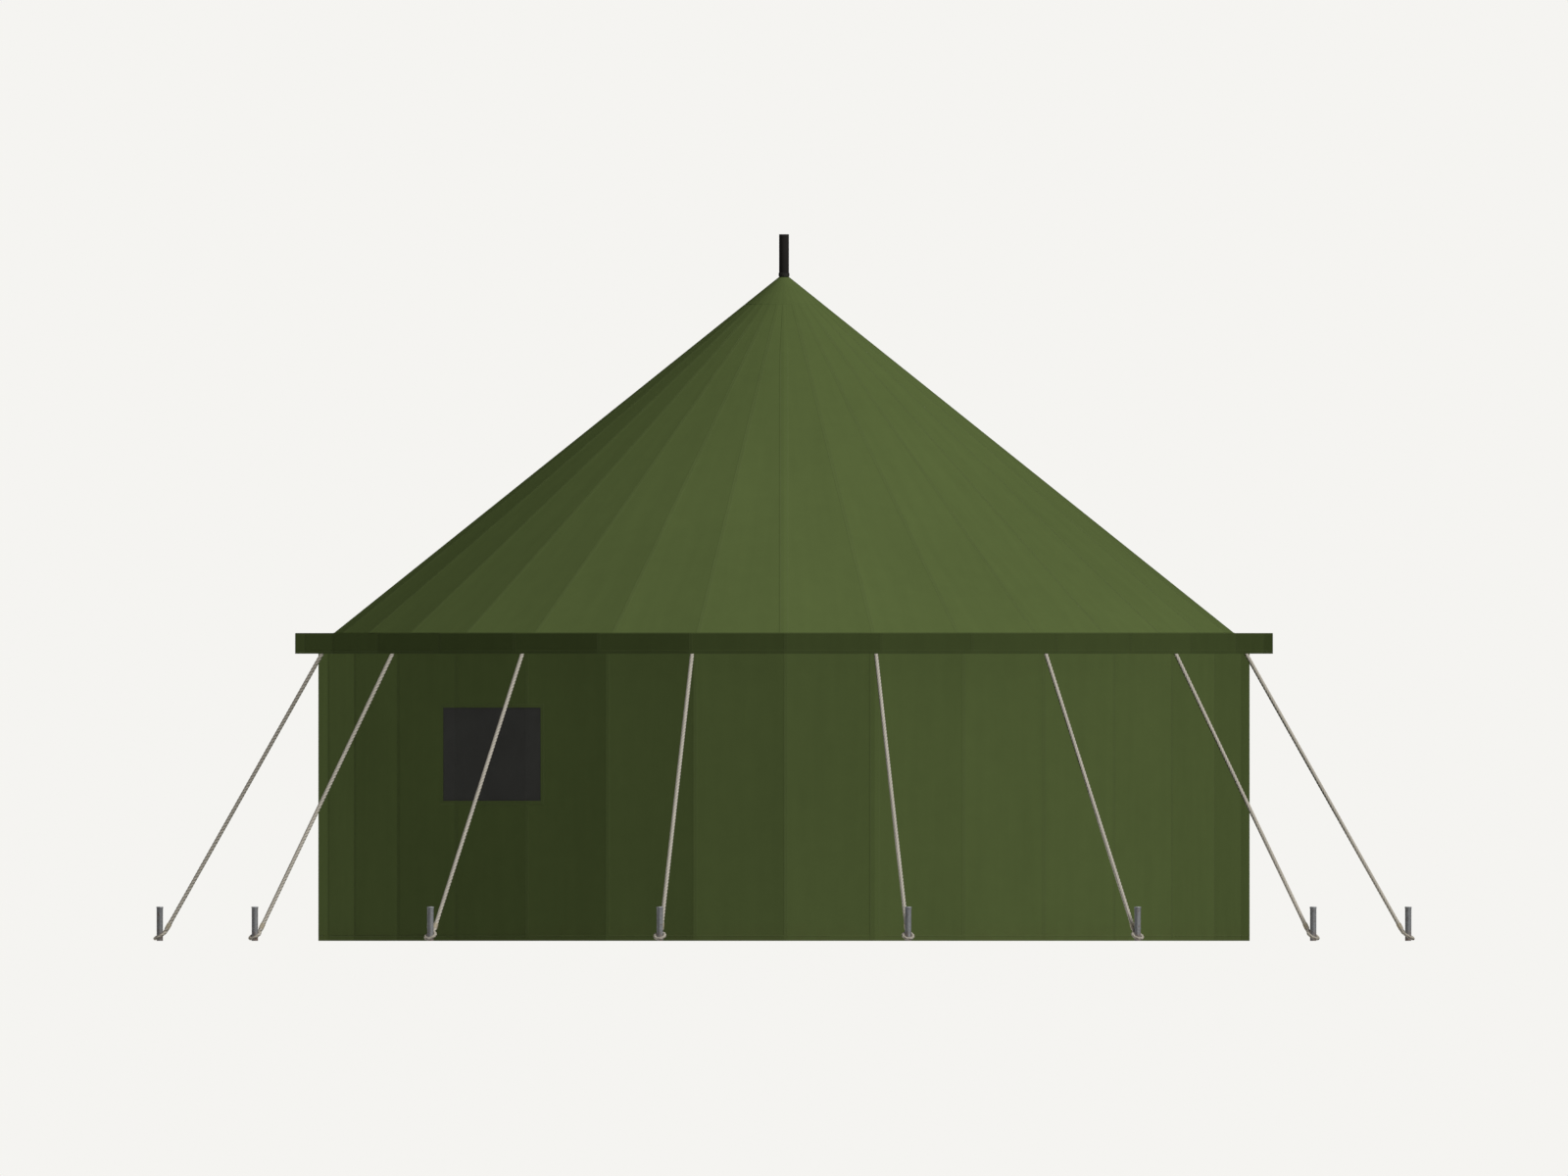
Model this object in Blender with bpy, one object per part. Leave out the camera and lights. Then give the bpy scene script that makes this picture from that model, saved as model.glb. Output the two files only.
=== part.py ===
"""A round canvas tent with one centre pole, from ground level up.

A cone roof in four laced sections stands on a king pole and on sixteen side poles. Four wall
curtains hang at the side poles, one with a screened window. A flat brim with a deep valance runs
round the eave. Sixteen guy ropes come down from the spikes of the side poles to sixteen stakes.
Every canvas surface is sewn from thirty-two cloths, so each is a ring of thirty-two flat facets.
Metres, +Z up, the origin on the ground under the king pole, the front towards -Y.
"""

import math

import bmesh
import bpy
from mathutils import Matrix, Vector

# The cloths: the tent is a regular polygon of this many sides, with a corner straight in front.
CLOTHS = 32
STEP = 360 / CLOTHS
HALF_STEP_COS = math.cos(math.radians(STEP / 2))
CANVAS = 0.004
SEAT = 0.0003
LACED_JOINT = 0.0006

# Roof: a cone, measured along the corners between cloths.
APEX_HEIGHT = 7.171
ROOF_RUN_PER_RISE = 1.25
ROOF_EDGE_RADIUS = 4.985
ROOF_SECTIONS = ("roof_front_right", "roof_back_right", "roof_back_left", "roof_front_left")

# Wall curtains, joined at side poles.
WALL_RADIUS = 5.0
WALL_HEIGHT = 3.15
WALL_CURTAINS = ("wall_right", "wall_back", "wall_left", "wall_front")
FIRST_WALL_JOINT = STEP

# The window in the front curtain, with its width taken along the cloth.
WINDOW_AZIMUTH = -39.45
WINDOW_WIDTH = 1.364
WINDOW_HEIGHT = 1.0
WINDOW_SILL = 1.505
SCREEN_THICKNESS = 0.002

# Eave band: a flat brim out from the roof, and a valance down from its rim.
BAND_RADIUS = 5.25
BAND_TOP = 3.305
BAND_DEPTH = 0.221
BATTEN_WIDTH = 0.03
BATTEN_DEPTH = 0.012
BATTEN_INNER_RADIUS = 4.86

# King pole: a steel tube with a crown collar under the canvas.
KING_POLE_HEIGHT = 7.59
KING_POLE_RADIUS = 0.053
KING_POLE_CHAMFER = 0.004
COLLAR_RADIUS = 0.14
COLLAR_RIM = 0.02
COLLAR_GUSSET = 0.045

# Side poles, with a spike on the head that passes through an eyelet in the roof.
GUYS = 16
FIRST_GUY = STEP
SIDE_POLE_RADIUS = 0.045
HEAD_RADIUS = 0.025
HEAD_TAPER = 0.05
SPIKE_RADIUS = 0.01
EYELET_CLEARANCE = 0.0015

# Guy ropes and stakes.
STAKE_CIRCLE = 6.836
STAKE_RADIUS = 0.035
STAKE_HEIGHT = 0.368
STAKE_CHAMFER = 0.004
ROPE_RADIUS = 0.021
HITCH_ROPE_RADIUS = 0.0225
HITCH_SLOPE = 0.6
HITCH_GROUND_CLEARANCE = 0.001
EYE_ROPE_RADIUS = 0.013
EYE_NECK = 0.012

# Smoothness of the round pieces.
ROUND_SIDES = 16
EYE_SEGMENTS = 14
ROPE_SIDES = 10

# Sizes that follow from the ones above.
ROOF_PITCH = math.atan(1 / ROOF_RUN_PER_RISE)
CANVAS_DROP = CANVAS / math.cos(ROOF_PITCH) / HALF_STEP_COS
WALL_INNER_RADIUS = WALL_RADIUS - CANVAS / HALF_STEP_COS
SIDE_POLE_CIRCLE = WALL_INNER_RADIUS - (SIDE_POLE_RADIUS + SEAT) / HALF_STEP_COS
BRIM_UNDERSIDE = BAND_TOP - CANVAS
SPIKE_TOP = BRIM_UNDERSIDE - BATTEN_DEPTH - SEAT


def roof_height(radius, depth=0.0):
    """Height of the roof's outer surface at a corner radius, less a drop below it."""
    return APEX_HEIGHT - depth - radius / ROOF_RUN_PER_RISE


def roof_radius(height):
    """Corner radius of the roof's outer surface at a height."""
    return (APEX_HEIGHT - height) * ROOF_RUN_PER_RISE


def polygon_point(radius, height, azimuth):
    """A point of the ring whose corners lie at radius, with the azimuth clockwise from the front."""
    from_middle = math.radians(azimuth % STEP - STEP / 2)
    reach = radius * HALF_STEP_COS / math.cos(from_middle)
    turn = math.radians(azimuth)
    return Vector((reach * math.sin(turn), -reach * math.cos(turn), height))


def srgb(red, green, blue):
    """A colour given as it shows on a screen, 0 to 255, as Blender's linear values."""
    linear = [((c / 255 + 0.055) / 1.055) ** 2.4 for c in (red, green, blue)]
    return (*linear, 1.0)


def material(name, colour, roughness, metallic=0.0):
    made = bpy.data.materials.new(name)
    made.use_nodes = True
    shader = made.node_tree.nodes["Principled BSDF"]
    shader.inputs["Base Color"].default_value = colour
    shader.inputs["Roughness"].default_value = roughness
    shader.inputs["Metallic"].default_value = metallic
    made.diffuse_color = colour
    return made


def mesh_of(shape, name):
    """The bmesh as a mesh datablock with its faces turned outwards."""
    bmesh.ops.recalc_face_normals(shape, faces=shape.faces)
    mesh = bpy.data.meshes.new(name)
    shape.to_mesh(mesh)
    shape.free()
    return mesh


def place(name, mesh, finish, location=(0, 0, 0), azimuth=0.0, parent=None):
    """A named object of the mesh, turned about the vertical from the front to its azimuth."""
    made = bpy.data.objects.new(name, mesh)
    if not mesh.materials:
        mesh.materials.append(finish)
    made.location = location
    made.rotation_euler.z = math.radians(azimuth)
    made.parent = parent
    bpy.context.scene.collection.objects.link(made)
    return made


def helper(name, mesh):
    """A cutter or a piece to join, which is no part of the tent itself."""
    made = bpy.data.objects.new(name, mesh)
    made.hide_render = True
    made.display_type = "WIRE"
    bpy.context.scene.collection.objects.link(made)
    return made


def combine(base, others, operation):
    """One mesh from a Boolean of the base mesh with each of the others."""
    target = helper(base.name + "_base", base)
    tools = [helper(mesh.name + "_tool", mesh) for mesh in others]
    for tool in tools:
        boolean = target.modifiers.new(tool.name, "BOOLEAN")
        boolean.operation = operation
        boolean.object = tool
        boolean.solver = "EXACT"
    bpy.context.view_layer.update()
    graph = bpy.context.evaluated_depsgraph_get()
    made = bpy.data.meshes.new_from_object(target.evaluated_get(graph))
    made.name = base.name
    for used in (target, *tools):
        bpy.data.objects.remove(used)
    return made


def smooth(mesh, sharp_from=35):
    mesh.shade_smooth()
    mesh.set_sharp_from_angle(angle=math.radians(sharp_from))
    return mesh


def corner_stations(start, end):
    """The azimuths from start to end, with each corner of the polygon that lies between them."""
    first = math.floor(start / STEP + 1e-6) + 1
    last = math.ceil(end / STEP - 1e-6) - 1
    return [start, *[corner * STEP for corner in range(first, last + 1)], end]


def ring_sector(name, profile, start, end):
    """The closed profile of (corner radius, height) points, carried round from start to end."""
    shape = bmesh.new()
    rings = [
        [shape.verts.new(polygon_point(radius, height, azimuth)) for radius, height in profile]
        for azimuth in corner_stations(start, end)
    ]
    for near, far in zip(rings, rings[1:]):
        for i, j in zip(range(len(profile)), [*range(1, len(profile)), 0]):
            shape.faces.new((near[i], near[j], far[j], far[i]))
    shape.faces.new(rings[0])
    shape.faces.new(rings[-1])
    return mesh_of(shape, name)


def joint_angle(radius):
    """Half of a laced joint's gap, as an azimuth at that radius."""
    return math.degrees(LACED_JOINT / 2 / radius)


def turned(name, profile, sides):
    """A solid of revolution from (radius, height) points that run up its outer side."""
    shape = bmesh.new()
    points = [(0.0, profile[0][1]), *profile, (0.0, profile[-1][1])]
    line = [shape.verts.new((0.0, -radius, height)) for radius, height in points]
    edges = [shape.edges.new(pair) for pair in zip(line, line[1:])]
    bmesh.ops.spin(
        shape,
        geom=[*line, *edges],
        cent=(0, 0, 0),
        axis=(0, 0, 1),
        angle=math.tau,
        steps=sides,
        use_merge=True,
    )
    bmesh.ops.remove_doubles(shape, verts=shape.verts, dist=1e-6)
    return mesh_of(shape, name)


def box(name, low, high):
    shape = bmesh.new()
    size = Vector(high) - Vector(low)
    middle = (Vector(high) + Vector(low)) / 2
    bmesh.ops.create_cube(shape, size=1, matrix=Matrix.LocRotScale(middle, None, size))
    return mesh_of(shape, name)


def torus(name, centre, major, minor, slope=0.0):
    """A rope eye about an upright post, rising towards +Y by the slope as a sheared ring."""
    shape = bmesh.new()
    circle = bmesh.ops.create_circle(
        shape,
        segments=ROPE_SIDES,
        radius=minor,
        matrix=Matrix.Translation((0, major, 0)) @ Matrix.Rotation(math.pi / 2, 4, "Y"),
    )
    ring = circle["verts"]
    edges = list({edge for vert in ring for edge in vert.link_edges})
    bmesh.ops.spin(
        shape,
        geom=[*ring, *edges],
        cent=(0, 0, 0),
        axis=(0, 0, 1),
        angle=math.tau,
        steps=EYE_SEGMENTS,
        use_merge=True,
    )
    bmesh.ops.remove_doubles(shape, verts=shape.verts, dist=1e-6)
    for vert in shape.verts:
        vert.co.z += slope * vert.co.y
    bmesh.ops.translate(shape, vec=centre, verts=shape.verts)
    return mesh_of(shape, name)


def rod(name, start, end, radius, sides):
    """A straight round bar between two points."""
    shape = bmesh.new()
    run = Vector(end) - Vector(start)
    place_at = Matrix.Translation((Vector(start) + Vector(end)) / 2)
    turn = Vector((0, 0, 1)).rotation_difference(run).to_matrix().to_4x4()
    bmesh.ops.create_cone(
        shape,
        cap_ends=True,
        segments=sides,
        radius1=radius,
        radius2=radius,
        depth=run.length,
        matrix=place_at @ turn,
    )
    return mesh_of(shape, name)


def guy_azimuths():
    return [FIRST_GUY + turn * 360 / GUYS for turn in range(GUYS)]


def make_king_pole(paint):
    """The tube from the ground through the roof, with a collar whose top bears the canvas."""
    under_canvas = CANVAS_DROP + 2 * SEAT
    collar_top = roof_height(KING_POLE_RADIUS, under_canvas)
    collar_edge = roof_height(COLLAR_RADIUS, under_canvas)
    profile = [
        (KING_POLE_RADIUS, 0.0),
        (KING_POLE_RADIUS, collar_edge - COLLAR_RIM - COLLAR_GUSSET),
        (COLLAR_RADIUS, collar_edge - COLLAR_RIM),
        (COLLAR_RADIUS, collar_edge),
        (KING_POLE_RADIUS, collar_top),
        (KING_POLE_RADIUS, KING_POLE_HEIGHT - KING_POLE_CHAMFER),
        (KING_POLE_RADIUS - KING_POLE_CHAMFER, KING_POLE_HEIGHT),
    ]
    place("king_pole", smooth(turned("king_pole", profile, CLOTHS)), paint)


def make_roof(canvas):
    """Four equal sections, each with an eyelet over every side pole that it covers."""
    sector = 360 / len(ROOF_SECTIONS)
    top_radius = KING_POLE_RADIUS + SEAT
    gap = joint_angle(WALL_RADIUS)
    profile = [
        (top_radius, roof_height(top_radius)),
        (ROOF_EDGE_RADIUS, roof_height(ROOF_EDGE_RADIUS)),
        (ROOF_EDGE_RADIUS, roof_height(ROOF_EDGE_RADIUS, CANVAS_DROP)),
        (top_radius, roof_height(top_radius, CANVAS_DROP)),
    ]
    plain = ring_sector("roof_section", profile, gap, sector - gap)
    low = Vector((0, 0, WALL_HEIGHT))
    high = Vector((0, 0, BAND_TOP))
    eyelets = [
        rod(
            "eyelet",
            polygon_point(SIDE_POLE_CIRCLE, 0, azimuth) + low,
            polygon_point(SIDE_POLE_CIRCLE, 0, azimuth) + high,
            SPIKE_RADIUS + EYELET_CLEARANCE,
            ROPE_SIDES,
        )
        for azimuth in guy_azimuths()
        if azimuth < sector
    ]
    section = combine(plain, eyelets, "DIFFERENCE")
    for number, name in enumerate(ROOF_SECTIONS):
        place(name, section, canvas, azimuth=number * sector)


def make_walls(canvas, mesh_cloth):
    """Four curtains of equal width. The front one has a window, closed by a screen."""
    sector = 360 / len(WALL_CURTAINS)
    gap = joint_angle(WALL_RADIUS)
    profile = [
        (WALL_INNER_RADIUS, 0.0),
        (WALL_RADIUS, 0.0),
        (WALL_RADIUS, WALL_HEIGHT),
        (WALL_INNER_RADIUS, WALL_HEIGHT),
    ]
    plain = ring_sector("wall_curtain", profile, gap, sector - gap)
    for number, name in enumerate(WALL_CURTAINS):
        azimuth = FIRST_WALL_JOINT + number * sector
        curtain = place(name, plain, canvas, azimuth=azimuth)
    cut_window(curtain)
    make_window_screen(mesh_cloth)


def window_sides(inset=0.0):
    """The azimuths of the window's two sides, drawn in by an inset in metres."""
    half = math.degrees((WINDOW_WIDTH / 2 - inset) / WALL_RADIUS)
    return WINDOW_AZIMUTH - half, WINDOW_AZIMUTH + half


def cut_window(curtain):
    through = 0.05
    profile = [
        (WALL_INNER_RADIUS - through, WINDOW_SILL),
        (WALL_RADIUS + through, WINDOW_SILL),
        (WALL_RADIUS + through, WINDOW_SILL + WINDOW_HEIGHT),
        (WALL_INNER_RADIUS - through, WINDOW_SILL + WINDOW_HEIGHT),
    ]
    cutter = helper("window_cutter", ring_sector("window_cutter", profile, *window_sides()))
    boolean = curtain.modifiers.new("window", "BOOLEAN")
    boolean.operation = "DIFFERENCE"
    boolean.object = cutter
    boolean.solver = "EXACT"


def make_window_screen(mesh_cloth):
    """A screen in the middle of the canvas's thickness, a seat's gap clear of the hole's edges."""
    middle = (WALL_INNER_RADIUS + WALL_RADIUS) / 2
    half = SCREEN_THICKNESS / 2 / HALF_STEP_COS
    low, high = WINDOW_SILL + SEAT, WINDOW_SILL + WINDOW_HEIGHT - SEAT
    profile = [
        (middle - half, low),
        (middle + half, low),
        (middle + half, high),
        (middle - half, high),
    ]
    screen = ring_sector("window_screen", profile, *window_sides(SEAT))
    place("window_screen", screen, mesh_cloth)


def make_eave_band(canvas):
    """Two half rings of brim and valance, with a batten under the brim at every side pole."""
    gap = joint_angle(BAND_RADIUS)
    inner = BAND_RADIUS - CANVAS / HALF_STEP_COS
    profile = [
        (roof_radius(BAND_TOP) + 2 * SEAT, BAND_TOP),
        (BAND_RADIUS, BAND_TOP),
        (BAND_RADIUS, BAND_TOP - BAND_DEPTH),
        (inner, BAND_TOP - BAND_DEPTH),
        (inner, BRIM_UNDERSIDE),
        (roof_radius(BRIM_UNDERSIDE) + 2 * SEAT, BRIM_UNDERSIDE),
    ]
    plain = ring_sector("eave_band", profile, -90 + gap, 90 - gap)
    overlap = CANVAS / 2
    batten = box(
        "batten",
        (-BATTEN_WIDTH / 2, -(inner + overlap), BRIM_UNDERSIDE - BATTEN_DEPTH),
        (BATTEN_WIDTH / 2, -BATTEN_INNER_RADIUS, BRIM_UNDERSIDE + overlap),
    )
    battens = []
    for azimuth in guy_azimuths():
        if abs((azimuth + 180) % 360 - 180) < 90:
            turned_batten = batten.copy()
            turned_batten.transform(Matrix.Rotation(math.radians(azimuth), 4, "Z"))
            battens.append(turned_batten)
    half_ring = combine(plain, battens, "UNION")
    place("eave_band_front", half_ring, canvas)
    place("eave_band_back", half_ring, canvas, azimuth=180)


def make_side_poles(steel):
    """The head tapers to a flat shoulder, which stops where its outer edge meets the canvas."""
    sideways = HEAD_RADIUS * math.tan(math.radians(STEP / 2))
    head = roof_height(SIDE_POLE_CIRCLE + HEAD_RADIUS + sideways, CANVAS_DROP + 2 * SEAT)
    profile = [
        (SIDE_POLE_RADIUS, 0.0),
        (SIDE_POLE_RADIUS, head - HEAD_TAPER),
        (HEAD_RADIUS, head),
        (SPIKE_RADIUS, head),
        (SPIKE_RADIUS, SPIKE_TOP),
    ]
    pole = smooth(turned("side_pole", profile, ROUND_SIDES))
    for number, azimuth in enumerate(guy_azimuths(), 1):
        foot = polygon_point(SIDE_POLE_CIRCLE, 0, azimuth)
        place(f"side_pole_{number:02d}", pole, steel, location=foot, azimuth=azimuth)


def make_stakes(steel):
    """The part of each stake that stands above the ground."""
    profile = [
        (STAKE_RADIUS, 0.0),
        (STAKE_RADIUS, STAKE_HEIGHT - STAKE_CHAMFER),
        (STAKE_RADIUS - STAKE_CHAMFER, STAKE_HEIGHT),
    ]
    stake = smooth(turned("stake", profile, ROUND_SIDES))
    for number, azimuth in enumerate(guy_azimuths(), 1):
        foot = polygon_point(STAKE_CIRCLE, 0, azimuth)
        place(f"stake_{number:02d}", stake, steel, location=foot, azimuth=azimuth)


def eye_radius(post_radius, rope_radius):
    """Centre-line radius of an eye whose facets clear a post of that radius."""
    return (post_radius + SEAT) / math.cos(math.pi / EYE_SEGMENTS) + rope_radius


def make_guy_ropes(fibre):
    """Each rope, drawn about its stake with the tent towards +Y, from a hitch to an eye on the spike."""
    hitch_radius = eye_radius(STAKE_RADIUS, HITCH_ROPE_RADIUS)
    hitch_drop = math.hypot(1, HITCH_SLOPE) * HITCH_ROPE_RADIUS + HITCH_SLOPE * hitch_radius
    hitch_centre = Vector((0, 0, hitch_drop + HITCH_GROUND_CLEARANCE))
    upper_radius = eye_radius(SPIKE_RADIUS, EYE_ROPE_RADIUS)
    uphill = upper_radius / ROOF_RUN_PER_RISE
    lift = uphill + (EYE_ROPE_RADIUS + SEAT) / math.cos(ROOF_PITCH)
    upper_height = roof_height(SIDE_POLE_CIRCLE) + lift
    upper_centre = Vector((0, STAKE_CIRCLE - SIDE_POLE_CIRCLE, upper_height))
    foot = hitch_centre + Vector((0, hitch_radius, HITCH_SLOPE * hitch_radius))
    top = upper_centre - Vector((0, upper_radius, 0))
    top += (foot - top).normalized() * EYE_NECK
    run = rod("guy_run", foot, top, ROPE_RADIUS, ROPE_SIDES)
    hitch = torus("hitch", hitch_centre, hitch_radius, HITCH_ROPE_RADIUS, slope=HITCH_SLOPE)
    eye = torus("eye", upper_centre, upper_radius, EYE_ROPE_RADIUS)
    rope = smooth(combine(run, [hitch, eye], "UNION"), sharp_from=60)
    for number, azimuth in enumerate(guy_azimuths(), 1):
        stake_foot = polygon_point(STAKE_CIRCLE, 0, azimuth)
        place(f"guy_rope_{number:02d}", rope, fibre, location=stake_foot, azimuth=azimuth)


def clear_scene():
    for old in list(bpy.data.objects):
        bpy.data.objects.remove(old)


def main():
    clear_scene()
    canvas = material("olive_canvas", srgb(88, 103, 57), 0.85)
    dark_canvas = material("dark_olive_canvas", srgb(71, 83, 46), 0.85)
    mesh_cloth = material("black_mesh", srgb(36, 36, 34), 0.9)
    black_paint = material("black_paint", srgb(38, 37, 34), 0.45)
    galvanised = material("galvanised_steel", srgb(150, 154, 156), 0.5, metallic=0.8)
    stake_steel = material("stake_steel", srgb(110, 112, 113), 0.55, metallic=0.6)
    fibre = material("natural_rope", srgb(196, 188, 170), 0.9)
    make_king_pole(black_paint)
    make_roof(canvas)
    make_walls(canvas, mesh_cloth)
    make_eave_band(dark_canvas)
    make_side_poles(galvanised)
    make_stakes(stake_steel)
    make_guy_ropes(fibre)


main()
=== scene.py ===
"""A round single-pole canvas tent, dressed over its packed model.

The canvas is sewn as shells with felled seams, flaps and stitches. Laid guy ropes, turned poles
and stakes, lacing and eyelets are made beside it, and every finish is a material of nodes.
"""

import math
from functools import partial

import bmesh
import bpy
import numpy as np
from mathutils import Matrix, Vector


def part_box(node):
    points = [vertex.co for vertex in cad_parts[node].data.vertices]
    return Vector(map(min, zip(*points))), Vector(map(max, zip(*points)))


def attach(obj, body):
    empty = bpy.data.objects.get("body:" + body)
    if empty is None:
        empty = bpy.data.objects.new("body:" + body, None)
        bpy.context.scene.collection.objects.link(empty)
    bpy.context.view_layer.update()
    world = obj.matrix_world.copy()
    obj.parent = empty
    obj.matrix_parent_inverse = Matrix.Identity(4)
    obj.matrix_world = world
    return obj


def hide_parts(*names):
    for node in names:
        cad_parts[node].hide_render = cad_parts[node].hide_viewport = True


bl_info = {
    "name": "Round Canvas Tent",
    "version": (1, 0, 0),
    "blender": (4, 5, 0),
    "location": "3D View > Sidebar > Tent",
    "description": "Sews, rigs and lights a round single-pole canvas tent",
    "category": "Add Mesh",
}

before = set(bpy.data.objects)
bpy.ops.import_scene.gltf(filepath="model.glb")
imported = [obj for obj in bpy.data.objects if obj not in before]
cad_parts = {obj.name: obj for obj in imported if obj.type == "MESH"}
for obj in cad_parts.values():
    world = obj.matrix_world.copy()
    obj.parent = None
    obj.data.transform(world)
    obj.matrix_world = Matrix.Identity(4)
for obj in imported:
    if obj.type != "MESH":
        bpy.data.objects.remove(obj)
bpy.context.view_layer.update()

BODY = "root"

# The tent is a regular polygon of thirty-two cloths, with a corner straight in front.
# Lengths are in metres. Azimuths are in degrees, 0 in front and 90 on the right.
# A cloth's middle lies at MIDDLE_SHARE of its corners' radius.
CLOTHS = 32
STEP = 360 / CLOTHS
HALF_STEP = math.radians(STEP / 2)
MIDDLE_SHARE = math.cos(HALF_STEP)
CLOTHS_A_SECTION = 8
SECTION_NAMES = ("front_right", "back_right", "back_left", "front_left")
CURTAIN_NAMES = ("right", "back", "left", "front")
JOINT_GAP = 0.0003

# Seams and stitches. Edges of cloth sharper than SHARP_CLOTH degrees stay sharp. A joint flap's
# shape goes across it: share of its half width, and lift. FLAP_ROW_RUN is the length of weave
# from one row of a roof flap's points to the next.
SEAM_EDGE = 0.0036
STITCH_INSET = 0.006
STITCH_LIFT = 0.0002
STITCH_SIZE = (0.0078, 0.0018, 0.0011)
COLUMNS_A_CLOTH = 12
SHARP_CLOTH = 4.5
FLAP_THICKNESS = 0.0014
FLAP_ROW_RUN = 6.3 / 44
FLAP_SHAPE = (
    (-1.0, -0.0002),
    (-0.84, 0.0019),
    (-0.5, 0.0022),
    (0.0, 0.0023),
    (0.5, 0.0022),
    (0.84, 0.0019),
    (1.0, -0.0002),
)
FLAP_STITCH_LIFT = FLAP_SHAPE[3][1]

# Weave: how far apart yarns are, and each cloth's own place on the roll.
DUCK_PITCH = 0.0021
SCREEN_PITCH = 0.0024
PLACE_ON_ROLL = (1.37, 0.61)

# Ripples in cloth: how many, how long, how far they slant and how high they are.
ROOF_RIPPLES = (7, 0.34, 0.15, 0.0011)
WALL_RIPPLES = (6, 0.42, 0.05, 0.0014)
BAND_RIPPLES = (5, 0.3, 0.05, 0.0012)

# Roof, measured along the corners between cloths.
APEX_HEIGHT = 7.171
ROOF_RUN_PER_RISE = 1.25
ROOF_TOP_RADIUS = 0.0537
ROOF_EDGE_RADIUS = 4.985
ROOF_PITCH = math.atan(1 / (ROOF_RUN_PER_RISE * MIDDLE_SHARE))
ROOF_NORMAL = (math.sin(ROOF_PITCH), math.cos(ROOF_PITCH))
ROOF_FLAP_HALF = 0.052
ROOF_FLAP_STITCH = 0.038
ROOF_STITCH_START = 0.68
CROWN_PATCH_RADIUS = 0.42
CROWN_PATCH_LIFT = 0.0027
CROWN_PATCH_ROWS = (0.056, 0.1, 0.16, 0.24, 0.32)

# Wall curtains and the window in the front one.
WALL_RADIUS = 5.0
WALL_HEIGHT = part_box("wall_back")[1].z
WALL_NORMAL = (1.0, 0.0)
WALL_ROW_GAP = 0.1
WALL_FLAP_HALF = 0.06
WALL_FLAP_STITCH = WALL_FLAP_HALF - 0.016
FOOT_HEM = 0.06
FOOT_STITCH = 0.052
SEAM_STITCH_ENDS = (WALL_HEIGHT - 0.06, 0.065)
HEAD_HEM = 0.055
FOLD = 0.002
WINDOW_AZIMUTH = -39.45
WINDOW_SIZE = (1.364, 1.0)
WINDOW_HALF_ANGLE = math.degrees(WINDOW_SIZE[0] / 2 / WALL_RADIUS)
WINDOW_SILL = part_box("window_screen")[0].z - JOINT_GAP
WINDOW_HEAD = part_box("window_screen")[1].z + JOINT_GAP
WINDOW_CORNERS = (28, 29)
WINDOW_STITCH_GAP = 0.05
BINDING = 0.04
# Beside the window the cloth is held: fully within a reach, and less and less over a fade.
HELD_REACH = 0.045
HELD_FADE = 0.22
HELD_SHARE = 0.2
SCREEN_RADIUS = 4.9988
SCREEN_THICKNESS = 0.001
SCREEN_SAG = 0.0015
FRONT_CURTAIN_START = (1 + 3 * CLOTHS_A_SECTION) * STEP - 360

# Eave band: a flat brim out from the roof and a valance down from its rim.
BAND_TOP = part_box("eave_band_front")[1].z
BAND_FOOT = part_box("eave_band_front")[0].z
BAND_RADIUS = 5.25
BAND_HEM = 0.034
RIM_BEND = 0.006
BRIM_INNER_RADIUS = (APEX_HEIGHT - BAND_TOP) * ROOF_RUN_PER_RISE + 0.0006
BRIM_THICKNESS = 0.004
BRIM_SAG = 0.003
BRIM_STITCH = 0.018
VALANCE_SAG = 0.0022
VALANCE_STITCH_DROP = 0.012
BATTEN_SIZE = (0.03, 0.012)
BATTEN_BEVEL = 0.003
BATTEN_INNER_RADIUS = 4.86
PIPING_GIRTH = 0.0045
PIPING_RISE = 0.0015
# How far rows of stitches and the piping stop short of the band's ends, in degrees.
STITCHES_SHORT = 0.02
PIPING_SHORT = 0.004

# Poles and stakes.
GUYS = 16
GUY_STEP = 360 / GUYS
FIRST_GUY = STEP
KING_POLE_RADIUS = 0.053
KING_POLE_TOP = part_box("king_pole")[1].z
KING_POLE_JOINT = 3.6
COLLAR_RADIUS = 0.14
COLLAR_DROP = 0.0057
LASHING_TURNS = 5
LASHING_RING = KING_POLE_RADIUS + 0.0035
LASHING_GIRTH = 0.0036
LASHING_FOOT = APEX_HEIGHT - 0.034
SIDE_POLE_CIRCLE = 4.95046
SIDE_POLE_RADIUS = 0.045
SIDE_POLE_HEAD = 3.181
SPIKE_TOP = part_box("side_pole_01")[1].z
SPIKE_RADIUS = 0.01
STAKE_CIRCLE = 6.836
STAKE_RADIUS = 0.035
STAKE_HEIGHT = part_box("stake_01")[1].z
BEATEN_DEPTH = 0.024
BEATEN_FADE = 0.012
BURR = 0.026

# Guy ropes: laid rope with an eye on the spike and an eye about the stake. A girth is a radius.
# A plain cord's lay is so long that it doesn't show.
YARNS = 44
STRANDS = 3
STRAND_DEPTH = 0.2
PLAIN_LAY = 1000.0
HITCH_RING = 0.0535
HITCH_SLOPE = 0.6
HITCH_HEIGHT = 0.055
HITCH_GIRTH = 0.0172
EYE_RING = 0.02357
EYE_HEIGHT = 3.2335
EYE_GIRTH = 0.013
HEAD_GIRTH = 0.016
EYE_LAY = 0.06
# A whipping's twine, and the stretch that it covers, from the rope's foot or from its head.
FOOT_WHIPPING = 0.0026
FOOT_WHIPPING_SPAN = (0.05, 0.11)
HEAD_WHIPPING = 0.0018
HEAD_WHIPPING_SPAN = (0.075, 0.03)
HEAD_WHIPPING_GIRTHS = (0.0185, 0.0145)

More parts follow.
